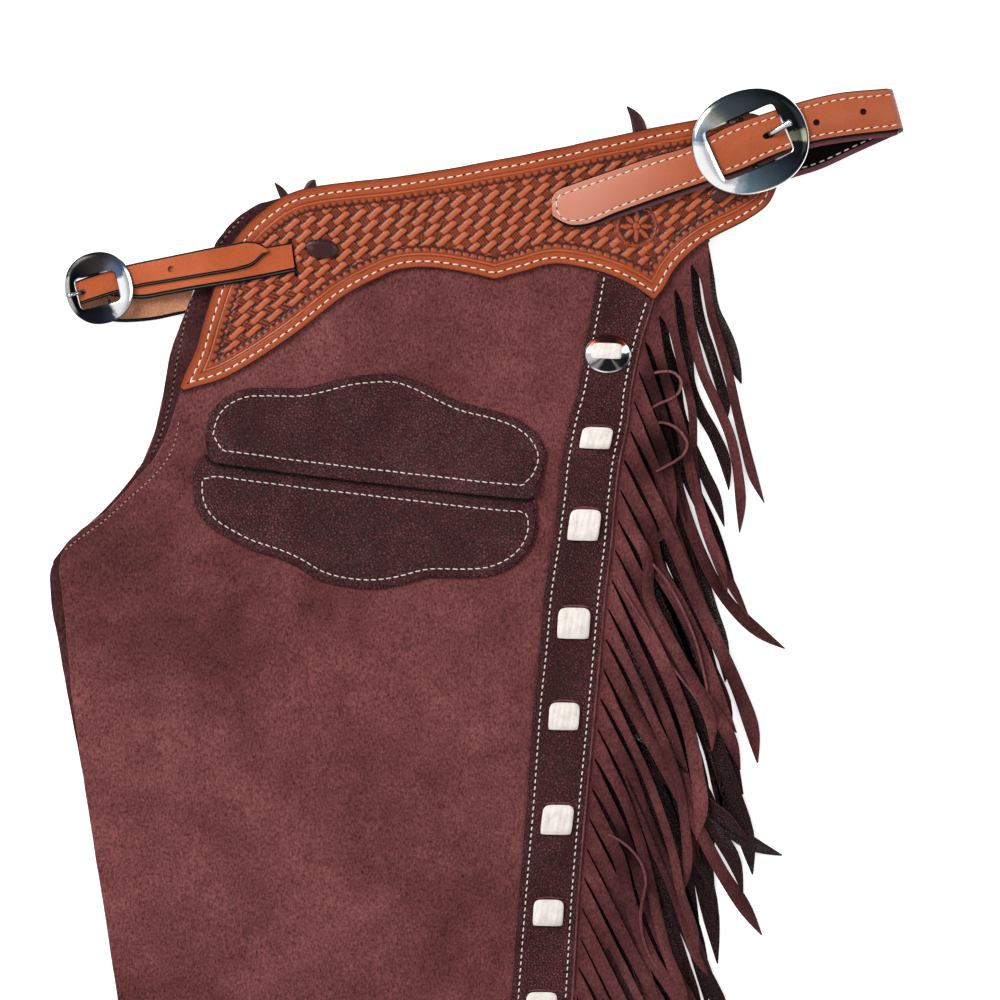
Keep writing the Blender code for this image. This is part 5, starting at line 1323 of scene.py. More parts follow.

# slits that the bands dive into, dark with painted shade, and the lighter lip above each
slitPoints, slitFaces, slitKinds = [], [], []
for (across, down), (width, length) in zip(bandCentres, bandSizes):
    turn = stripTurn(down)
    level = 0.2 * turn
    for kind, offset, half, wide, proud in ((0, -length / 2 - 0.1, width / 2 - 0.4, 0.9, 0.06),
                                            (0, length / 2 + 0.1, width / 2 - 0.5, 0.8, 0.06),
                                            (1, -length / 2 - 1.3, width / 2 - 0.9, 0.7, 0.16)):
        base = len(slitPoints)
        count = 11
        for i in range(count):
            f = -1.0 + 2.0 * i / (count - 1)
            v = offset + (0.9 * f * f if offset < 0 else -0.5 * f * f)
            for sign in (-1, 1):
                w = v + sign * wide * (1.0 - f ** 4 * 0.9)
                x = across + half * f * math.cos(level) + w * math.sin(turn)
                y = down - half * f * math.sin(level) + w * math.cos(turn)
                high = stripSeat.at(x, y)
                for deep in (proud, -0.4):
                    slitPoints.append((x, y, high + deep))
        for i in range(count - 1):
            a, b = base + i * 4, base + i * 4 + 4
            slitFaces += [(a, b, b + 2, a + 2), (a + 1, a + 3, b + 3, b + 1), (a, a + 1, b + 1, b),
                          (a + 2, b + 2, b + 3, a + 3)]
            slitKinds += [kind] * 4
        slitFaces += [(base, base + 2, base + 3, base + 1)]
        last = base + (count - 1) * 4
        slitFaces += [(last, last + 1, last + 3, last + 2)]
        slitKinds += [kind] * 2
slits = buildMesh("strip_slits", slitPoints, slitFaces, [paintedHoleShade, suedeEdge], slitKinds)
finishPiece(slits, "trim")

# concho with its own band

concho = {"sides": 96, "rings": (      # share of the radii, height
    (0.97, -0.1), (1.0, 0.25), (1.0, 0.75), (0.975, 1.05), (0.93, 1.2), (0.9, 1.25), (0.86, 1.5), (0.76, 2.1),
    (0.62, 2.7), (0.45, 3.1), (0.25, 3.32), (0.1, 3.38))}
across, down = conchoCentre
base = float(onPanel(across, down)) + leather["trim"] + 0.5
turns = [2 * math.pi * k / concho["sides"] for k in range(concho["sides"])]
rings = []
for reach, height in concho["rings"]:
    rings.append([(across + conchoRadii[0] * reach * math.cos(a), down + conchoRadii[1] * reach * math.sin(a),
                   base + height) for a in turns])
inward = np.repeat([1.0 - reach for reach, height in concho["rings"]], concho["sides"])
conchoPiece = loft("concho_plate", rings, [conchoPlate], sharp=60.0, tones={"inward": inward})
finishPiece(conchoPiece, "silver", "concho_left")
conchoBand = whiteBand("concho_band", across - 0.5, down - 2.0, lambda x, y: base + 3.3, 20.0, 10.5, 0.9, 40)
finishPiece(conchoBand, "rawhide", "concho_band_left")
print("bands and concho set")


# straps: a closed section carried along the edge points

strapSteps = 8       # sections to each gap between two stations


def strapSection(width, thickness, groove, dark):
    sides = []
    for blackened in dark:      # rounded and burnished down to the upper face; the edge band is wider along the lower edge, where the black of it is partly painted shade under that edge
        marks = [(0.0, 0.5 * thickness), (0.07, 0.3 * thickness), (0.4, 0.12 * thickness),
                 (0.56, 0.06 * thickness), (1.0, 0.0)]
        marks = [(w * blackened, d) for w, d in marks]
        if groove:
            marks += [(groove - 0.7, 0.0), (groove - 0.25, 0.22), (groove + 0.25, 0.22), (groove + 0.7, 0.0)]
        else:
            marks += [(blackened + 0.6 + 0.4 * k, 0.0) for k in range(4)]
        shrink = min(1.0, 0.46 * width / marks[-1][0])
        sides.append([(w * shrink, d) for w, d in marks])
    outer = sides[0] + [(width / 2.0, -0.04)] + [(width - w, d) for w, d in reversed(sides[1])]
    below = [(0.06, thickness * 0.72), (0.3, thickness - 0.08), (min(dark[0], 0.4 * width), thickness),
             (width / 2.0, thickness), (width - min(dark[1], 0.4 * width), thickness),
             (width - 0.3, thickness - 0.08), (width - 0.06, thickness * 0.72)]
    return outer, [(min(max(w, 0.0), width), d) for w, d in reversed(below)]


def strapMesh(name, stations, start, thickness, materials, groove, dark):
    dense = curveThrough(stations, strapSteps)
    count = len(dense)
    middles = (dense[:, :2] + dense[:, 2:4]) / 2.0
    middles = np.column_stack([middles, dense[:, 4]])
    overall = middles[count // 2] - middles[0]
    if dense[-1, 5] > 90:
        top = [i for i in range(count) if dense[i, 5] < 10]
        overall = middles[top[-1]] - middles[0]
    overall[2] = 0.0
    rings, seats = [], []
    for i in range(count):
        tilt = math.radians(min(max(dense[i, 5], 0.0), 180.0))
        upper = np.array([dense[i, 0], dense[i, 1], dense[i, 4]])
        lower = np.array([dense[i, 2], dense[i, 3], dense[i, 4]])
        cross = lower - upper
        width = np.linalg.norm(cross)
        away = np.array([-cross[1], cross[0], 0.0]) / width
        if np.dot(away, overall) < 0:
            away = -away
        outward = np.array([0.0, 0.0, math.cos(tilt)]) + away * math.sin(tilt)
        outer, inner = strapSection(width, thickness, groove, dark)
        unit = cross / width
        rings.append([tuple(upper + unit * w - outward * (start + d)) for w, d in outer + inner])
        seats.append((upper, unit, width))
    outerCount, fullCount = len(outer), len(outer) + len(inner)

    def kindOf(k):
        if 4 <= k < outerCount - 5:
            return 0
        # the fourth material, where given, is the painted highlight line inside the black edge
        if k == outerCount - 4 and len(materials) > 3:
            return 3
        if outerCount + 2 <= k < fullCount - 3:
            return min(2, len(materials) - 1)
        return 1

    item = loft(name, rings, materials, kinds=kindOf, sharp=70.0)
    return item, seats


drillTop = 45.0      # well clear of everything in the lay


# an oval or round hole, from above down to the given height; its walls take the near-black painted hole shade
def drill(item, across, down, width, length, turn, low):
    bpy.ops.object.select_all(action="DESELECT")
    spot = toWorld([(across, down, (low + drillTop) / 2.0)])[0]
    bpy.ops.mesh.primitive_cylinder_add(vertices=24, radius=0.5, depth=1.0, location=spot,
                                        rotation=(0, 0, turn))
    cutter = bpy.context.object
    cutter.scale = (length / 1000.0, width / 1000.0, (drillTop - low) / 1000.0)
    bpy.ops.object.transform_apply(location=False, rotation=True, scale=True)
    cutter.data.materials.append(paintedHoleShade)
    pick(item)
    if paintedHoleShade.name not in [m.name for m in item.data.materials]:
        item.data.materials.append(paintedHoleShade)
    modifier = item.modifiers.new("hole", "BOOLEAN")
    modifier.operation = "DIFFERENCE"
    modifier.solver = "EXACT"
    modifier.material_mode = "TRANSFER"
    modifier.use_self = True
    modifier.object = cutter
    bpy.ops.object.modifier_apply(modifier=modifier.name)
    bpy.data.objects.remove(cutter)


def strapRow(seats, inset, start, stop, lower=False):
    line = []
    for upper, unit, width in seats[start:stop]:
        along = width - inset if lower else inset
        spot = upper + unit * along
        line.append((spot[0], spot[1]))
    return np.array(line)


belt = {"groove": 4.6, "stitch": 4.6, "stitchPitch": 6.1, "dark": (0.8, 1.8), "tipOuter": (371.6, 138.8),
        "prongHole": (512.2, 90.6, 4.6, 8.6), "punched": 4.4, "holeLow": 12.0}
billetHoles = [(114.0, 179.5, 4.2, 4.2, 0.0), (54.4, 194.9, 3.6, 7.0, math.radians(frontTurn))]
billetLow = 9.0
beltPiece, beltSeats = strapMesh("belt_tongue", backBelt, 0.0, leather["belt"], [beltTan, blackEdge, beltTan],
                                 belt["groove"], belt["dark"])
linedBelt = []
for row in backBelt:        # the lining stands out a little below the belt's lower edge
    cross = np.array([row[2] - row[0], row[3] - row[1]], float)
    out = cross / np.hypot(*cross) * 2.6 * float(ease((row[0] - 372.0) / 40.0)) * (row[5] == 0)
    linedBelt.append((row[0], row[1], row[2] + out[0], row[3] + out[1], row[4], row[5]))
liningPiece, liningSeats = strapMesh("belt_lining", linedBelt, leather["belt"] + 0.3, leather["lining"],
                                     [oxbloodSmooth, liningEdge, oxbloodSmooth], 0.0, (0.8, 3.2))
for strap in (beltPiece, liningPiece):
    drill(strap, *belt["prongHole"], math.radians(rearTurn), belt["holeLow"])
for across, down in beltHoles:
    drill(beltPiece, across, down, belt["punched"], belt["punched"], 0.0, belt["holeLow"])
beltSeat = Seat(beltPiece)
topCount = 12 * strapSteps + 3
tip = strapSteps
upperRow = strapRow(beltSeats, belt["stitch"], tip, topCount)
lowerRow = strapRow(beltSeats, belt["stitch"], tip, topCount, True)
first, last = upperRow[0], lowerRow[0]
centre = (first + last) / 2.0
outer = np.array(belt["tipOuter"])
arc = [centre + (outer - centre) * math.sin(a) + (last - centre) * -math.cos(a)
       for a in np.linspace(0.15, math.pi - 0.15, 7)]
beltSeam = curveThrough(np.vstack([upperRow[::-1][::4], arc, lowerRow[::4]]), 4)
liningSeat = Seat(liningPiece, 13.5)
returnStart = 15 * strapSteps
beltSeams = [(beltSeat, beltSeam, belt["stitchPitch"], 0.7, -7.0)]
for lower in (False, True):     # and both rows of the part that turns back underneath
    row = strapRow(liningSeats, belt["stitch"], returnStart, len(liningSeats), lower)
    beltSeams.append((liningSeat, row, belt["stitchPitch"], 0.66, 0.0))
sew("belt_sewing", beltSeams, thread, "belt", 0.9)
finishPiece(beltPiece, "belt", "back_belt")
finishPiece(liningPiece, "lining", "back_belt_lining")

chape, _ = strapMesh("rear_chape", backChape, 0.0, 3.4, [beltTan, blackEdge, fleshSide], 0.0, (0.8, 1.6))
finishPiece(chape, "belt", "back_chape")
frontLayers = [strapTan, blackEdge, fleshSide, paintedEdgeHighlight]
billet, _ = strapMesh("front_billet_strap", frontBillet, 0.0, leather["strap"], frontLayers, 0.0, (1.3, 2.3))
frontTab, _ = strapMesh("front_chape_strap", frontChape, 0.0, leather["strap"], frontLayers, 0.0, (1.0, 3.0))
for hole in billetHoles:
    drill(billet, *hole, billetLow)
finishPiece(billet, "belt", "front_billet")
finishPiece(frontTab, "belt", "front_chape")
print("straps cut, punched and sewn")


# buckles and their tongues

# low and thick: underside and thickness of the frame; bar: shift, half length, radius, height
backBuckle = {
    "centre": rearPlace, "turn": rearTurn, "outer": (39.0, 34.5), "window": (24.8, 17.6), "corner": 14.0,
    "spin": 7.0, "slide": -0.9, "drop": 0.0, "low": 25.2, "thick": 3.2, "bar": (-1.5, 18.2, 1.5, 18.5),
    "plate": rearPlate}
frontBuckle = {
    "centre": frontPlace, "turn": frontTurn, "outer": (22.8, 24.0), "window": (13.6, 10.4), "corner": 9.0,
    "spin": 0.0, "slide": -1.2, "drop": 1.2, "low": 13.6, "thick": 2.4, "bar": (4.5, 11.6, 1.1, 9.4),
    "plate": smallPlate}


# from the buckle's own plan to the lay
def bucklePlace(look, u, v, z):
    turn = math.radians(look["turn"])
    return (look["centre"][0] + u * math.cos(turn) + v * math.sin(turn),
            look["centre"][1] - u * math.sin(turn) + v * math.cos(turn), z)


# how far a rounded box or oval reaches at an angle
def cornerReach(angle, size, power):
    c, s = abs(math.cos(angle)) / size[0], abs(math.sin(angle)) / size[1]
    return (c ** power + s ** power) ** (-1.0 / power)


# the frame's section is a list of shares inwards and shares of the height
def buckleRings(look, profile):
    sides = 192
    rings = []
    for k in range(sides):
        angle = 2 * math.pi * (k + 0.5) / sides
        outer = cornerReach(angle, look["outer"], 2.15)
        inner = cornerReach(angle + math.radians(look["spin"]), look["window"], look["corner"])
        ring = []
        for f, h in profile:
            reach = outer + (inner - outer) * f
            ring.append(bucklePlace(look, reach * math.cos(angle) + look["slide"] * f,
                                    reach * math.sin(angle) + look["drop"] * f,
                                    look["low"] + look["thick"] * h))
        rings.append(ring)
    return rings


def barPath(look):
    shift, reach, _, level = look["bar"]
    high = look["low"] + look["thick"] * 0.45
    steps = 7

    def barPoint(side, i):
        return bucklePlace(look, shift, side * reach * math.cos(math.pi * i / (2 * steps)),
                           high + (level - high) * min(1.0, 1.6 * i / steps))

    path = [bucklePlace(look, shift, -reach - 0.6, high)]
    path += [barPoint(-1, i) for i in range(1, steps)]
    path += [barPoint(1, i) for i in range(steps - 1, 0, -1)]
    return path + [bucklePlace(look, shift, reach + 0.6, high)]


def makeBuckle(name, look):
    profile = ((0.0, 0.0), (0.0, 0.34), (0.012, 0.46), (0.05, 0.6), (0.14, 0.78), (0.28, 0.92), (0.45, 1.0),
               (0.62, 0.99), (0.8, 0.92), (0.93, 0.84), (0.975, 0.78), (0.995, 0.66), (1.0, 0.5), (1.0, 0.0))
    rings = buckleRings(look, profile)
    inward = [f for ring in rings for f, h in profile]
    plate = loft(name, rings, [look["plate"]], closedPath=True, sharp=50.0, tones={"inward": inward})
    path = barPath(look)
    bar = loft(name + "_bar", tube(path, [look["bar"][2]] * len(path)), [silver])
    return joinPieces(name, [plate, bar])


# a tapering prong through points of the buckle's own plan
def makeTongue(name, look, path, radii):
    spots = [bucklePlace(look, u, v, z) + (r,) for (u, v, z), r in zip(path, radii)]
    dense = curveThrough(spots, 6)
    rings = tube([p[:3] for p in dense], [p[3] for p in dense], 14)
    return loft(name, rings, [silver], sharp=60.0)


rearBuckle = makeBuckle("rear_buckle", backBuckle)
finishPiece(rearBuckle, "silver", "back_buckle")
rearTongue = makeTongue("rear_prong", backBuckle,
                        ((2.2, 0.0, 18.4), (8.3, 0.0, 18.4), (10.4, -0.2, 20.2), (12.5, -0.6, 23.4),
                         (14.8, -1.1, 27.0), (18.5, -2.0, 29.2), (24.0, -3.2, 30.2), (27.0, -3.9, 30.3),
                         (28.6, -4.2, 30.1), (30.0, -4.5, 29.9)),
                        (1.3, 1.3, 1.3, 1.5, 1.7, 1.9, 2.0, 2.6, 2.9, 1.6))
finishPiece(rearTongue, "silver", "back_tongue")
smallBuckle = makeBuckle("small_buckle", frontBuckle)
finishPiece(smallBuckle, "silver", "front_buckle")
smallTongue = makeTongue("small_prong", frontBuckle,
                         ((2.9, 0, 9.4), (-8.6, 0, 9.6), (-10.4, 0, 10.6), (-11.7, 0, 13.0), (-13.2, 0, 15.8),
                          (-15.0, 0, 17.2), (-18.0, 0, 17.6), (-20.0, 0, 17.6), (-21.8, 0, 17.3)),
                         (0.9, 0.9, 0.9, 1.0, 1.2, 1.3, 1.5, 1.9, 1.2))
finishPiece(smallTongue, "silver", "front_tongue")
print("buckles set")


# lace knots and ends

def makeKnot(name, across, down, halfLong, halfWide, turn):
    turn = math.radians(turn)
    level = float(onPanel(across, down)) + leather["yoke"] + 0.35
    rings = []
    for i in range(25):
        t = i / 24.0
        s = -math.cos(math.pi * t)
        swell = max(1e-3, (1.0 - abs(s) ** 3.4)) ** 0.5
        ring = []
        for k in range(20):
            a = 2 * math.pi * k / 20
            c, d = math.cos(a), math.sin(a)
            v = halfWide * swell * abs(c) ** 0.8 * (1 if c > 0 else -1)
            u = halfLong * s + 0.7 * math.sin(v * 0.35)
            z = level + 1.35 + 1.55 * swell * abs(d) ** 0.8 * (1 if d > 0 else -0.82)
            if d > 0:
                z -= 0.5 * math.exp(-((v - 0.25 * u) / 0.9) ** 2) * (1 - abs(s) ** 4)
            ring.append((across + u * math.cos(turn) + v * math.sin(turn),
                         down - u * math.sin(turn) + v * math.cos(turn), z))
        rings.append(ring)
    return loft(name, rings, [laceOxblood], sharp=75.0)


for knotName, across, down, halfLong, halfWide, turn in knots:
    knot = makeKnot("lace_" + knotName, across, down, halfLong, halfWide, turn)
    finishPiece(knot, "lace", knotName)

for laceName, root, middle, tipPoint, width in laceEnds:
    line = curveThrough([(*root, width), (*middle, width * 0.86), (*tipPoint, width * 0.1)], 10)
    rings = []
    for i, (px, py, wide) in enumerate(line):
        run = line[min(i + 1, len(line) - 1), :2] - line[max(i - 1, 0), :2]
        run /= np.hypot(*run)
        side = np.array([-run[1], run[0]])
        ring = []
        for w, z in ((-0.5, 0.25), (-0.46, 0.06), (-0.2, -0.12), (0.2, -0.12), (0.46, 0.06), (0.5, 0.25),
                     (0.48, 1.3), (0.2, 1.55), (-0.2, 1.5), (-0.48, 1.3)):
            spot = np.array([px, py]) + side * w * wide
            ring.append((spot[0], spot[1], 7.5 - z))
        rings.append(ring)
    lace = loft(laceName.replace("end", "tail"), rings, [laceOxblood], sharp=50.0)
    finishPiece(lace, "lace", laceName)
print("laces tied")


# fringe: every strand follows its solid, cut a little narrower, cupped and rolled over

fringe = {"steps": 5, "widths": (0.62, 1.0), "roll": (6.0, 30.0), "cup": 0.7, "dip": 0.3, "cutWide": 0.235,
          "columns": (-1.0, -0.5, 0.0, 0.5, 1.0), "headerTone": 0.86}


tipArea = 0.5e-6     # square metres, smaller than any other face


# rings of four points from each strand's root to its tip
def strandChains(work):
    chains, used = [], set()
    for face in sorted(work.faces, key=lambda f: f.calc_area()):
        if face.calc_area() > tipArea:
            break
        tip = set(face.verts)
        for edge in face.edges:
            for other in edge.link_faces:
                if other.normal.dot(face.normal) > 0.98 and other.calc_area() < tipArea:
                    tip |= set(other.verts)
        if len(tip) != 4 or tip & used:
            continue
        chain, seen, now = [tip], set(tip), tip
        while True:
            now = {edge.other_vert(vert) for vert in now for edge in vert.link_edges} - seen
            if len(now) != 4:
                break
            chain.append(now)
            seen |= now
        if len(chain) > 4:
            used |= seen
            chains.append(chain[::-1])
    return sorted(chains, key=lambda chain: -max(vert.co.y for vert in chain[0]))


# each ring as across, down, height, half width across and down, thickness
def strandStations(chain):
    rows, before = [], None
    for ring in chain:
        spots = sorted((vert.co.copy() for vert in ring), key=lambda p: (round(p.z, 6), round(p.x, 6), p.y))
        a, b = spots[0], spots[1]
        half = np.array([(b.x - a.x) * 500.0, (a.y - b.y) * 500.0])
        if before is not None and float(half @ before) < 0:
            half = -half
        before = half
        rows.append(((a.x + b.x) * 500.0 + originAcross, originDown - (a.y + b.y) * 500.0, a.z * 1000.0,
                     half[0], half[1], (spots[3].z - a.z) * 1000.0))
    return rows


# more strands of the lower fringe, which lie flat in the gaps of the upper one
flatStrands = {"wide": 11.0, "low": 0.1, "thick": 1.0, "paths": [
    [(412, 320), (433.3, 373.3), (460, 426.7), (474.7, 480), (481.3, 542)],
    [(404, 360), (426.7, 400), (448, 460), (466.7, 520), (477.3, 581.3)],
    [(400, 400), (421.3, 440), (436.7, 493.3), (460, 553.3), (474.7, 613.3), (478.7, 643.3)],
    [(396, 440), (414.7, 480), (433.3, 533.3), (453.3, 593.3), (466.7, 640), (472, 673.3)],
    [(418.7, 286.7), (430, 346.7), (446.7, 400), (466.7, 453.3), (487.3, 483.3)],
    [(390, 486.7), (407, 526.7), (423, 580), (442, 633.3), (458, 680), (466.7, 713.3)],
    [(404, 426.7), (426.7, 486.7), (442.7, 533.3), (454.7, 573.3), (466.7, 620)],
    [(432, 396), (458.7, 460), (474.7, 500), (482.7, 533.3), (486.7, 560)],
    [(389.3, 533.3), (405.3, 573.3), (421.3, 626.7), (436.7, 673.3), (448, 720)]]}
hollows = [  # across, down, reach across, reach down, depth of the shade between the strands
    (441.0, 254.0, 14.0, 17.0, 0.86), (445.0, 295.0, 14.0, 21.0, 0.86), (418.5, 566.0, 6.0, 24.0, 0.7),
    (437.0, 374.0, 8.0, 28.0, 0.45), (461.0, 436.0, 9.0, 38.0, 0.4), (428.0, 316.0, 5.5, 20.0, 0.4),
    (452.0, 520.0, 10.0, 34.0, 0.35), (470.0, 300.0, 9.0, 24.0, 0.35)]


def layFlat():
    for path in flatStrands["paths"]:
        spots = np.array(path, float)
        run = np.gradient(spots, axis=0)
        run /= np.linalg.norm(run, axis=1)[:, None]
        halves = np.stack([run[:, 1], -run[:, 0]], 1) * flatStrands["wide"] / 2.0
        halves[-1] *= 0.08
        yield [(*spot, flatStrands["low"], *half, flatStrands["thick"]) for spot, half in zip(spots, halves)]


# the header without its strands, and where each of them lies
def cutHeader(name, node, materials):
    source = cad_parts[node]
    mesh = source.data.copy()
    mesh.transform(source.matrix_world)
    work = bmesh.new()
    work.from_mesh(mesh)
    bmesh.ops.remove_doubles(work, verts=work.verts, dist=0.00002)
    chains = strandChains(work)
    laid = [strandStations(chain) for chain in chains]
    loose = {vert for chain in chains for ring in chain[1:] for vert in ring}
    bmesh.ops.delete(work, geom=[vert for vert in work.verts if vert in loose], context="VERTS")
    bmesh.ops.holes_fill(work, edges=work.edges, sides=4)
    bmesh.ops.recalc_face_normals(work, faces=work.faces)
    for face in work.faces:
        face.material_index = 0 if face.normal.z > 0.55 else 1 if face.normal.z < -0.55 else 2
    work.to_mesh(mesh)
    work.free()
    mesh.materials.clear()
    for material in materials:
        mesh.materials.append(material)
    addShade(mesh, "tone", np.full(len(mesh.vertices), fringe["headerTone"]))
    header = bpy.data.objects.new(name, mesh)
    bpy.context.scene.collection.objects.link(header)
    return header, laid


def inHollows(shade, px, py):
    for across, along, wideReach, longReach, depth in hollows:
        away = ((px - across) / wideReach) ** 2 + ((py - along) / longReach) ** 2
        shade *= 1.0 - depth * math.exp(-away ** 1.5)
    return shade


def dressFringe(name, node, materials, slot, seed, more=()):
    header, laid = cutHeader(name, node, materials)
    draw = random.Random(seed)
    levels = np.array([row[2] for rows in laid for row in rows[2:]])
    lowest, highest = np.percentile(levels, 4), np.percentile(levels, 96)
    points, faces, kinds, tones = [], [], [], []
    columns = fringe["columns"]
    around = 2 * len(columns)
    for rows in laid + list(more):
        flat = rows[0][2] == flatStrands["low"]
        dense = curveThrough(rows, fringe["steps"])
        last = len(dense) - 1
        narrow = draw.uniform(*fringe["widths"])
        roll = math.radians(draw.uniform(*fringe["roll"])) * draw.choice((-1.0, 1.0, 1.0))
        phase, base = draw.uniform(0.0, 2 * math.pi), draw.uniform(0.76, 1.22)
        cup = fringe["cup"] * draw.choice((-1.0, 1.0))
        if more:
            narrow, base = 0.6 + 0.5 * narrow, 0.82 * base
        if flat:
            narrow, roll, cup, base = 1.0, 0.0, 0.0, 1.0
        faces += skinFaces(around, len(dense), len(points))
        kinds += [1 if k < 4 else 2 if k in (4, 9) else 0 for k in range(around)] * last + [2, 2]
        for i, (px, py, low, hx, hy, thick) in enumerate(dense):
            share = i / last
            free = float(ease(share * 4.0))
            wide = math.hypot(hx, hy) * (1.0 - (1.0 - narrow) * free)
            side = np.array([hx, hy]) / max(math.hypot(hx, hy), 1e-6)
            lean = roll * free * (0.72 + 0.28 * math.cos(4.0 * share + phase))
            lift = wide * abs(math.sin(lean))
            arch = cup * free * min(1.0, wide / 3.0)
            if i == 0:      # the root reaches a little into the header
                ahead = np.array(dense[1][:2]) - np.array([px, py])
                px, py = np.array([px, py]) - ahead / np.linalg.norm(ahead) * fringe["dip"]
                thick -= 0.06
            # painted shade: lower layers of strands darker, some strands lit more than others, and each darker
            # along its middle where the strands overlap
            shade = 0.62 + 0.38 * min(max((low - lowest) / (highest - lowest), 0.0), 1.0)
            own = 0.92 + (base * shade * (1.0 - 0.16 * math.sin(math.pi * share) ** 2) - 0.92) * free
            for top in (False, True):
                for w in (columns if top else columns[::-1]):
                    h = arch * (1.0 - w * w) + (thick if top else 0.0) - min(arch, 0.0)
                    a = w * wide * math.cos(lean) - h * math.sin(lean)
                    b = w * wide * math.sin(lean) + h * math.cos(lean)
                    points.append((px + side[0] * a, py + side[1] * a, low + lift + b))
                    hang = 0.5 - 0.5 * w * (1.0 if lean > 0 else -1.0)      # the lower edge lies in shade
                    shaded = own * (1.0 - 0.2 * free * hang - 0.1 * abs(w) ** 3)
                    tones.append(inHollows(shaded, px, py))
    strands = buildMesh(name + "_strands", points, faces, materials, kinds, sharp=50.0, tones={"tone": tones})
    print("strands in", name, len(laid))
    item = joinPieces(name, [header, strands])
    finishPiece(item, slot, node)
    return item


suedeUp = [suedeStrand, grainStrand, strandCut]
grainUp = [grainStrand, suedeStrand, strandCut]
fringeUpper = dressFringe("fringe_upper", "fringe_left", suedeUp, "suede", 5)
fringeLower = dressFringe("fringe_lower", "fringe_right", grainUp, "grain_fringe", 9, layFlat())
for item in (fringeUpper, fringeLower):
    spots = np.array([vert.co for vert in item.data.vertices])
    width, length = fringe["cutWide"], float(np.ptp(spots[:, 1]))
print("fringe dressed")

# strands that curl up and stand on their cut edge
curls = {"tall": 5.0, "thick": 1.7, "paths": [     # across, down, height
    [(431, 250.5, 9.6), (436, 248.8, 10.2), (441.2, 247.7, 11.0), (449.1, 248.3, 11.6), (454.4, 254.3, 11.8),
     (453.1, 260.9, 11.4), (447.8, 265.5, 10.8), (439.9, 268.8, 10.2), (433.5, 272.5, 9.6), (428, 276.5, 9.2)],
    [(430.5, 281.5, 9.8), (435.3, 282, 10.4), (441.9, 281.7, 11.0), (449.1, 284, 11.6), (455.7, 289.9, 11.8),
     (458.3, 295.9, 11.6), (456.4, 301.8, 11.2), (450.5, 307.1, 10.8), (443.9, 311, 10.4),
     (437.5, 314.5, 9.8)],
    [(424, 357, 9.8), (432, 371.7, 10.6), (443.9, 386.2, 11.0), (454.4, 404.7, 11.2), (463, 425, 11.0),
     (470, 452, 10.6), (474, 478, 9.8)],
    [(407.6, 379.6, 9.6), (413.5, 390.1, 10.4), (422.7, 404.7, 11.0), (434.7, 423.1, 11.2), (447, 443, 11.0),
     (460, 460, 10.6), (471.5, 476, 9.8)],
    [(405.5, 556.5, 9.6), (414, 561, 10.2), (422.3, 568.3, 10.8), (428.5, 578, 11.2), (430.6, 588, 11.4),
     (428.5, 600, 11.4), (427.3, 611, 11.2), (428.6, 624, 10.8), (432.5, 636, 10.2), (440, 648, 9.6)]]}
curlPieces = []
for number, path in enumerate(curls["paths"]):
    dense = curveThrough(path, 10)
    run = np.gradient(dense[:, :2], axis=0)
    run /= np.maximum(np.linalg.norm(run, axis=1), 1e-6)[:, None]
    side = np.stack([-run[:, 1], run[:, 0]], 1)
    rings = []
    for i, (px, py, high) in enumerate(dense):
        end = min(i, len(dense) - 1 - i) / 6.0
        taper = 0.5 + 0.5 * float(ease(end))
        thick, tall = curls["thick"] * taper, curls["tall"] * taper
        lean = 0.5 * math.sin(i * 0.11 + number)
        ring = []
        for w, h in ((-0.5, -1.0), (0.5, -1.0), (0.5, -0.12), (0.34, 0.0), (-0.34, 0.0), (-0.5, -0.12)):
            spot = np.array([px, py]) + side[i] * (w * thick + h * lean)
            ring.append((spot[0], spot[1], high + 1.2 + h * tall))
        rings.append(ring)
    curlPieces.append(loft(f"curl_{number}", rings, [suedeStrand, suedeEdge],
                           kinds=lambda k: 1 if k in (2, 3, 4) else 0, sharp=50.0,
                           tones={"tone": [1.0] * (6 * len(rings))}))
curlsPiece = joinPieces("fringe_curls", curlPieces)
finishPiece(curlsPiece, "suede")
print("curled strands laid")

# sewing of the rise: a rose row on the upper leg, faded rows on the leg beneath
rise = curveThrough([
    (119.2, 280.7), (113.3, 302.7), (105.3, 314.0), (86.0, 332.0), (67.1, 348.7), (49.8, 361.1),
    (42.5, 367.0)], 8)
below = curveThrough([
    (128.0, 197.3), (124.6, 208.0), (121.0, 224.0), (117.3, 243.0), (113.7, 266.0), (110.7, 277.3),
    (104.7, 295.3), (101.1, 302.7)], 8)
belowEdge = curveThrough([(163.0, 143.5), (152.5, 154.5), (144.0, 166.5)], 8)
sew("rise_sewing", [(Seat(suedeFront), rise, 3.6, 0.6, 5.0)], threadRose, "suede", 0.8, 0.24)
underSeat = Seat(suedeUnder)
sew("rise_sewing_under", [(underSeat, below, 4.1, 0.5, 12.0), (underSeat, belowEdge, 4.1, 0.5, 12.0)],
    threadFaded, "suede_under", 0.95, 0.24)


# floor, light and camera

stage = {"floor": (5.2, 6.4), "cameraHeight": 5.0, "covers": 0.6667, "scaledAt": 0.015, "middle": 333.33,
         "sensor": 36.0, "glowFrom": (-0.78, -0.52, 0.25)}

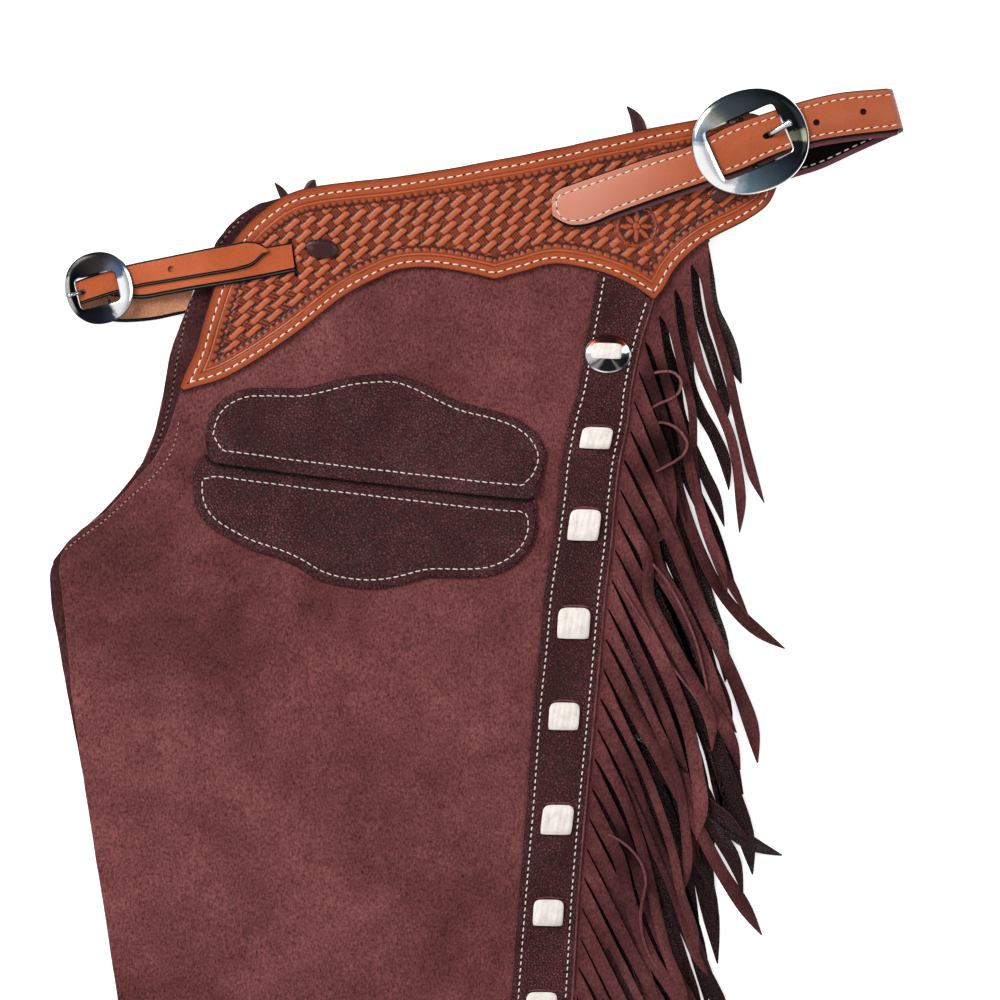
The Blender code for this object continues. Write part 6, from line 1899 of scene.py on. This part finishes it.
bpy.ops.object.select_all(action="DESELECT")
bpy.ops.mesh.primitive_plane_add(size=1.0, location=(0, 0, -0.0004))
floor = bpy.context.object
floor.name = "floor"
floor.scale = (*stage["floor"], 1.0)
bpy.ops.object.transform_apply(location=True, rotation=True, scale=True)
floorPaint = Paint("floor_white", 0.9)
floorPaint.coat({"Base Color": floorPaint.ramp(floorPaint.noise(40.0, 2.0), [(0.3, 243), (0.7, 246)]),
                 "Specular IOR Level": 0.0, "Emission Color": (1, 1, 1, 1), "Emission Strength": 0.6})
floor.data.materials.append(floorPaint.material)
floor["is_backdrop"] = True

world = bpy.data.worlds.new("studio")
bpy.context.scene.world = world
world.use_nodes = True
sky = Nodes(world.node_tree)
direction = sky.add("TexCoord", {}, "Generated")
facing = sky.add("VectorMath", {0: direction, 1: stage["glowFrom"]}, "Value", operation="DOT_PRODUCT")
glow = sky.ramp(facing, [(0.0, (120, 122, 126)), (0.12, (170, 172, 175)), (0.3, 250), (0.9, 255)])
sky.feed(world.node_tree.nodes["Background"], {"Color": glow, "Strength": 0.75})


def softBox(name, spot, size, power):
    light = bpy.data.lights.new(name, "AREA")
    light.shape = "RECTANGLE"
    light.size, light.size_y = size
    light.energy = power
    item = bpy.data.objects.new(name, light)
    bpy.context.scene.collection.objects.link(item)
    item.location = spot
    item.rotation_euler = (Vector(lightsAim) - Vector(spot)).to_track_quat("-Z", "Y").to_euler()


lightsAim = (0.0, 0.25, 0.0)
softBox("key_softbox", (-1.5, 1.6, 2.0), (1.3, 1.3), 62.0)
softBox("fill_softbox", (1.7, 0.9, 2.4), (1.6, 1.6), 22.0)

camera = bpy.data.cameras.new("camera")
camera.sensor_width = stage["sensor"]
camera.lens = stage["sensor"] * (stage["cameraHeight"] - stage["scaledAt"]) / stage["covers"]
camera.clip_end = 50.0
cameraItem = bpy.data.objects.new("camera", camera)
bpy.context.scene.collection.objects.link(cameraItem)
cameraItem.location = ((stage["middle"] - originAcross) / 1000.0, (originDown - stage["middle"]) / 1000.0,
                       stage["cameraHeight"])
bpy.context.scene.camera = cameraItem
bpy.context.scene.view_settings.view_transform = "Standard"

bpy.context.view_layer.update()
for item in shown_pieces():
    if item.type == "MESH" and not item.hide_render:
        item.data.calc_loop_triangles()
shown = [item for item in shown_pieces() if not item.hide_render]
print("pieces", len(shown), "triangles", sum(len(i.data.loop_triangles) for i in shown if i.type == "MESH"))
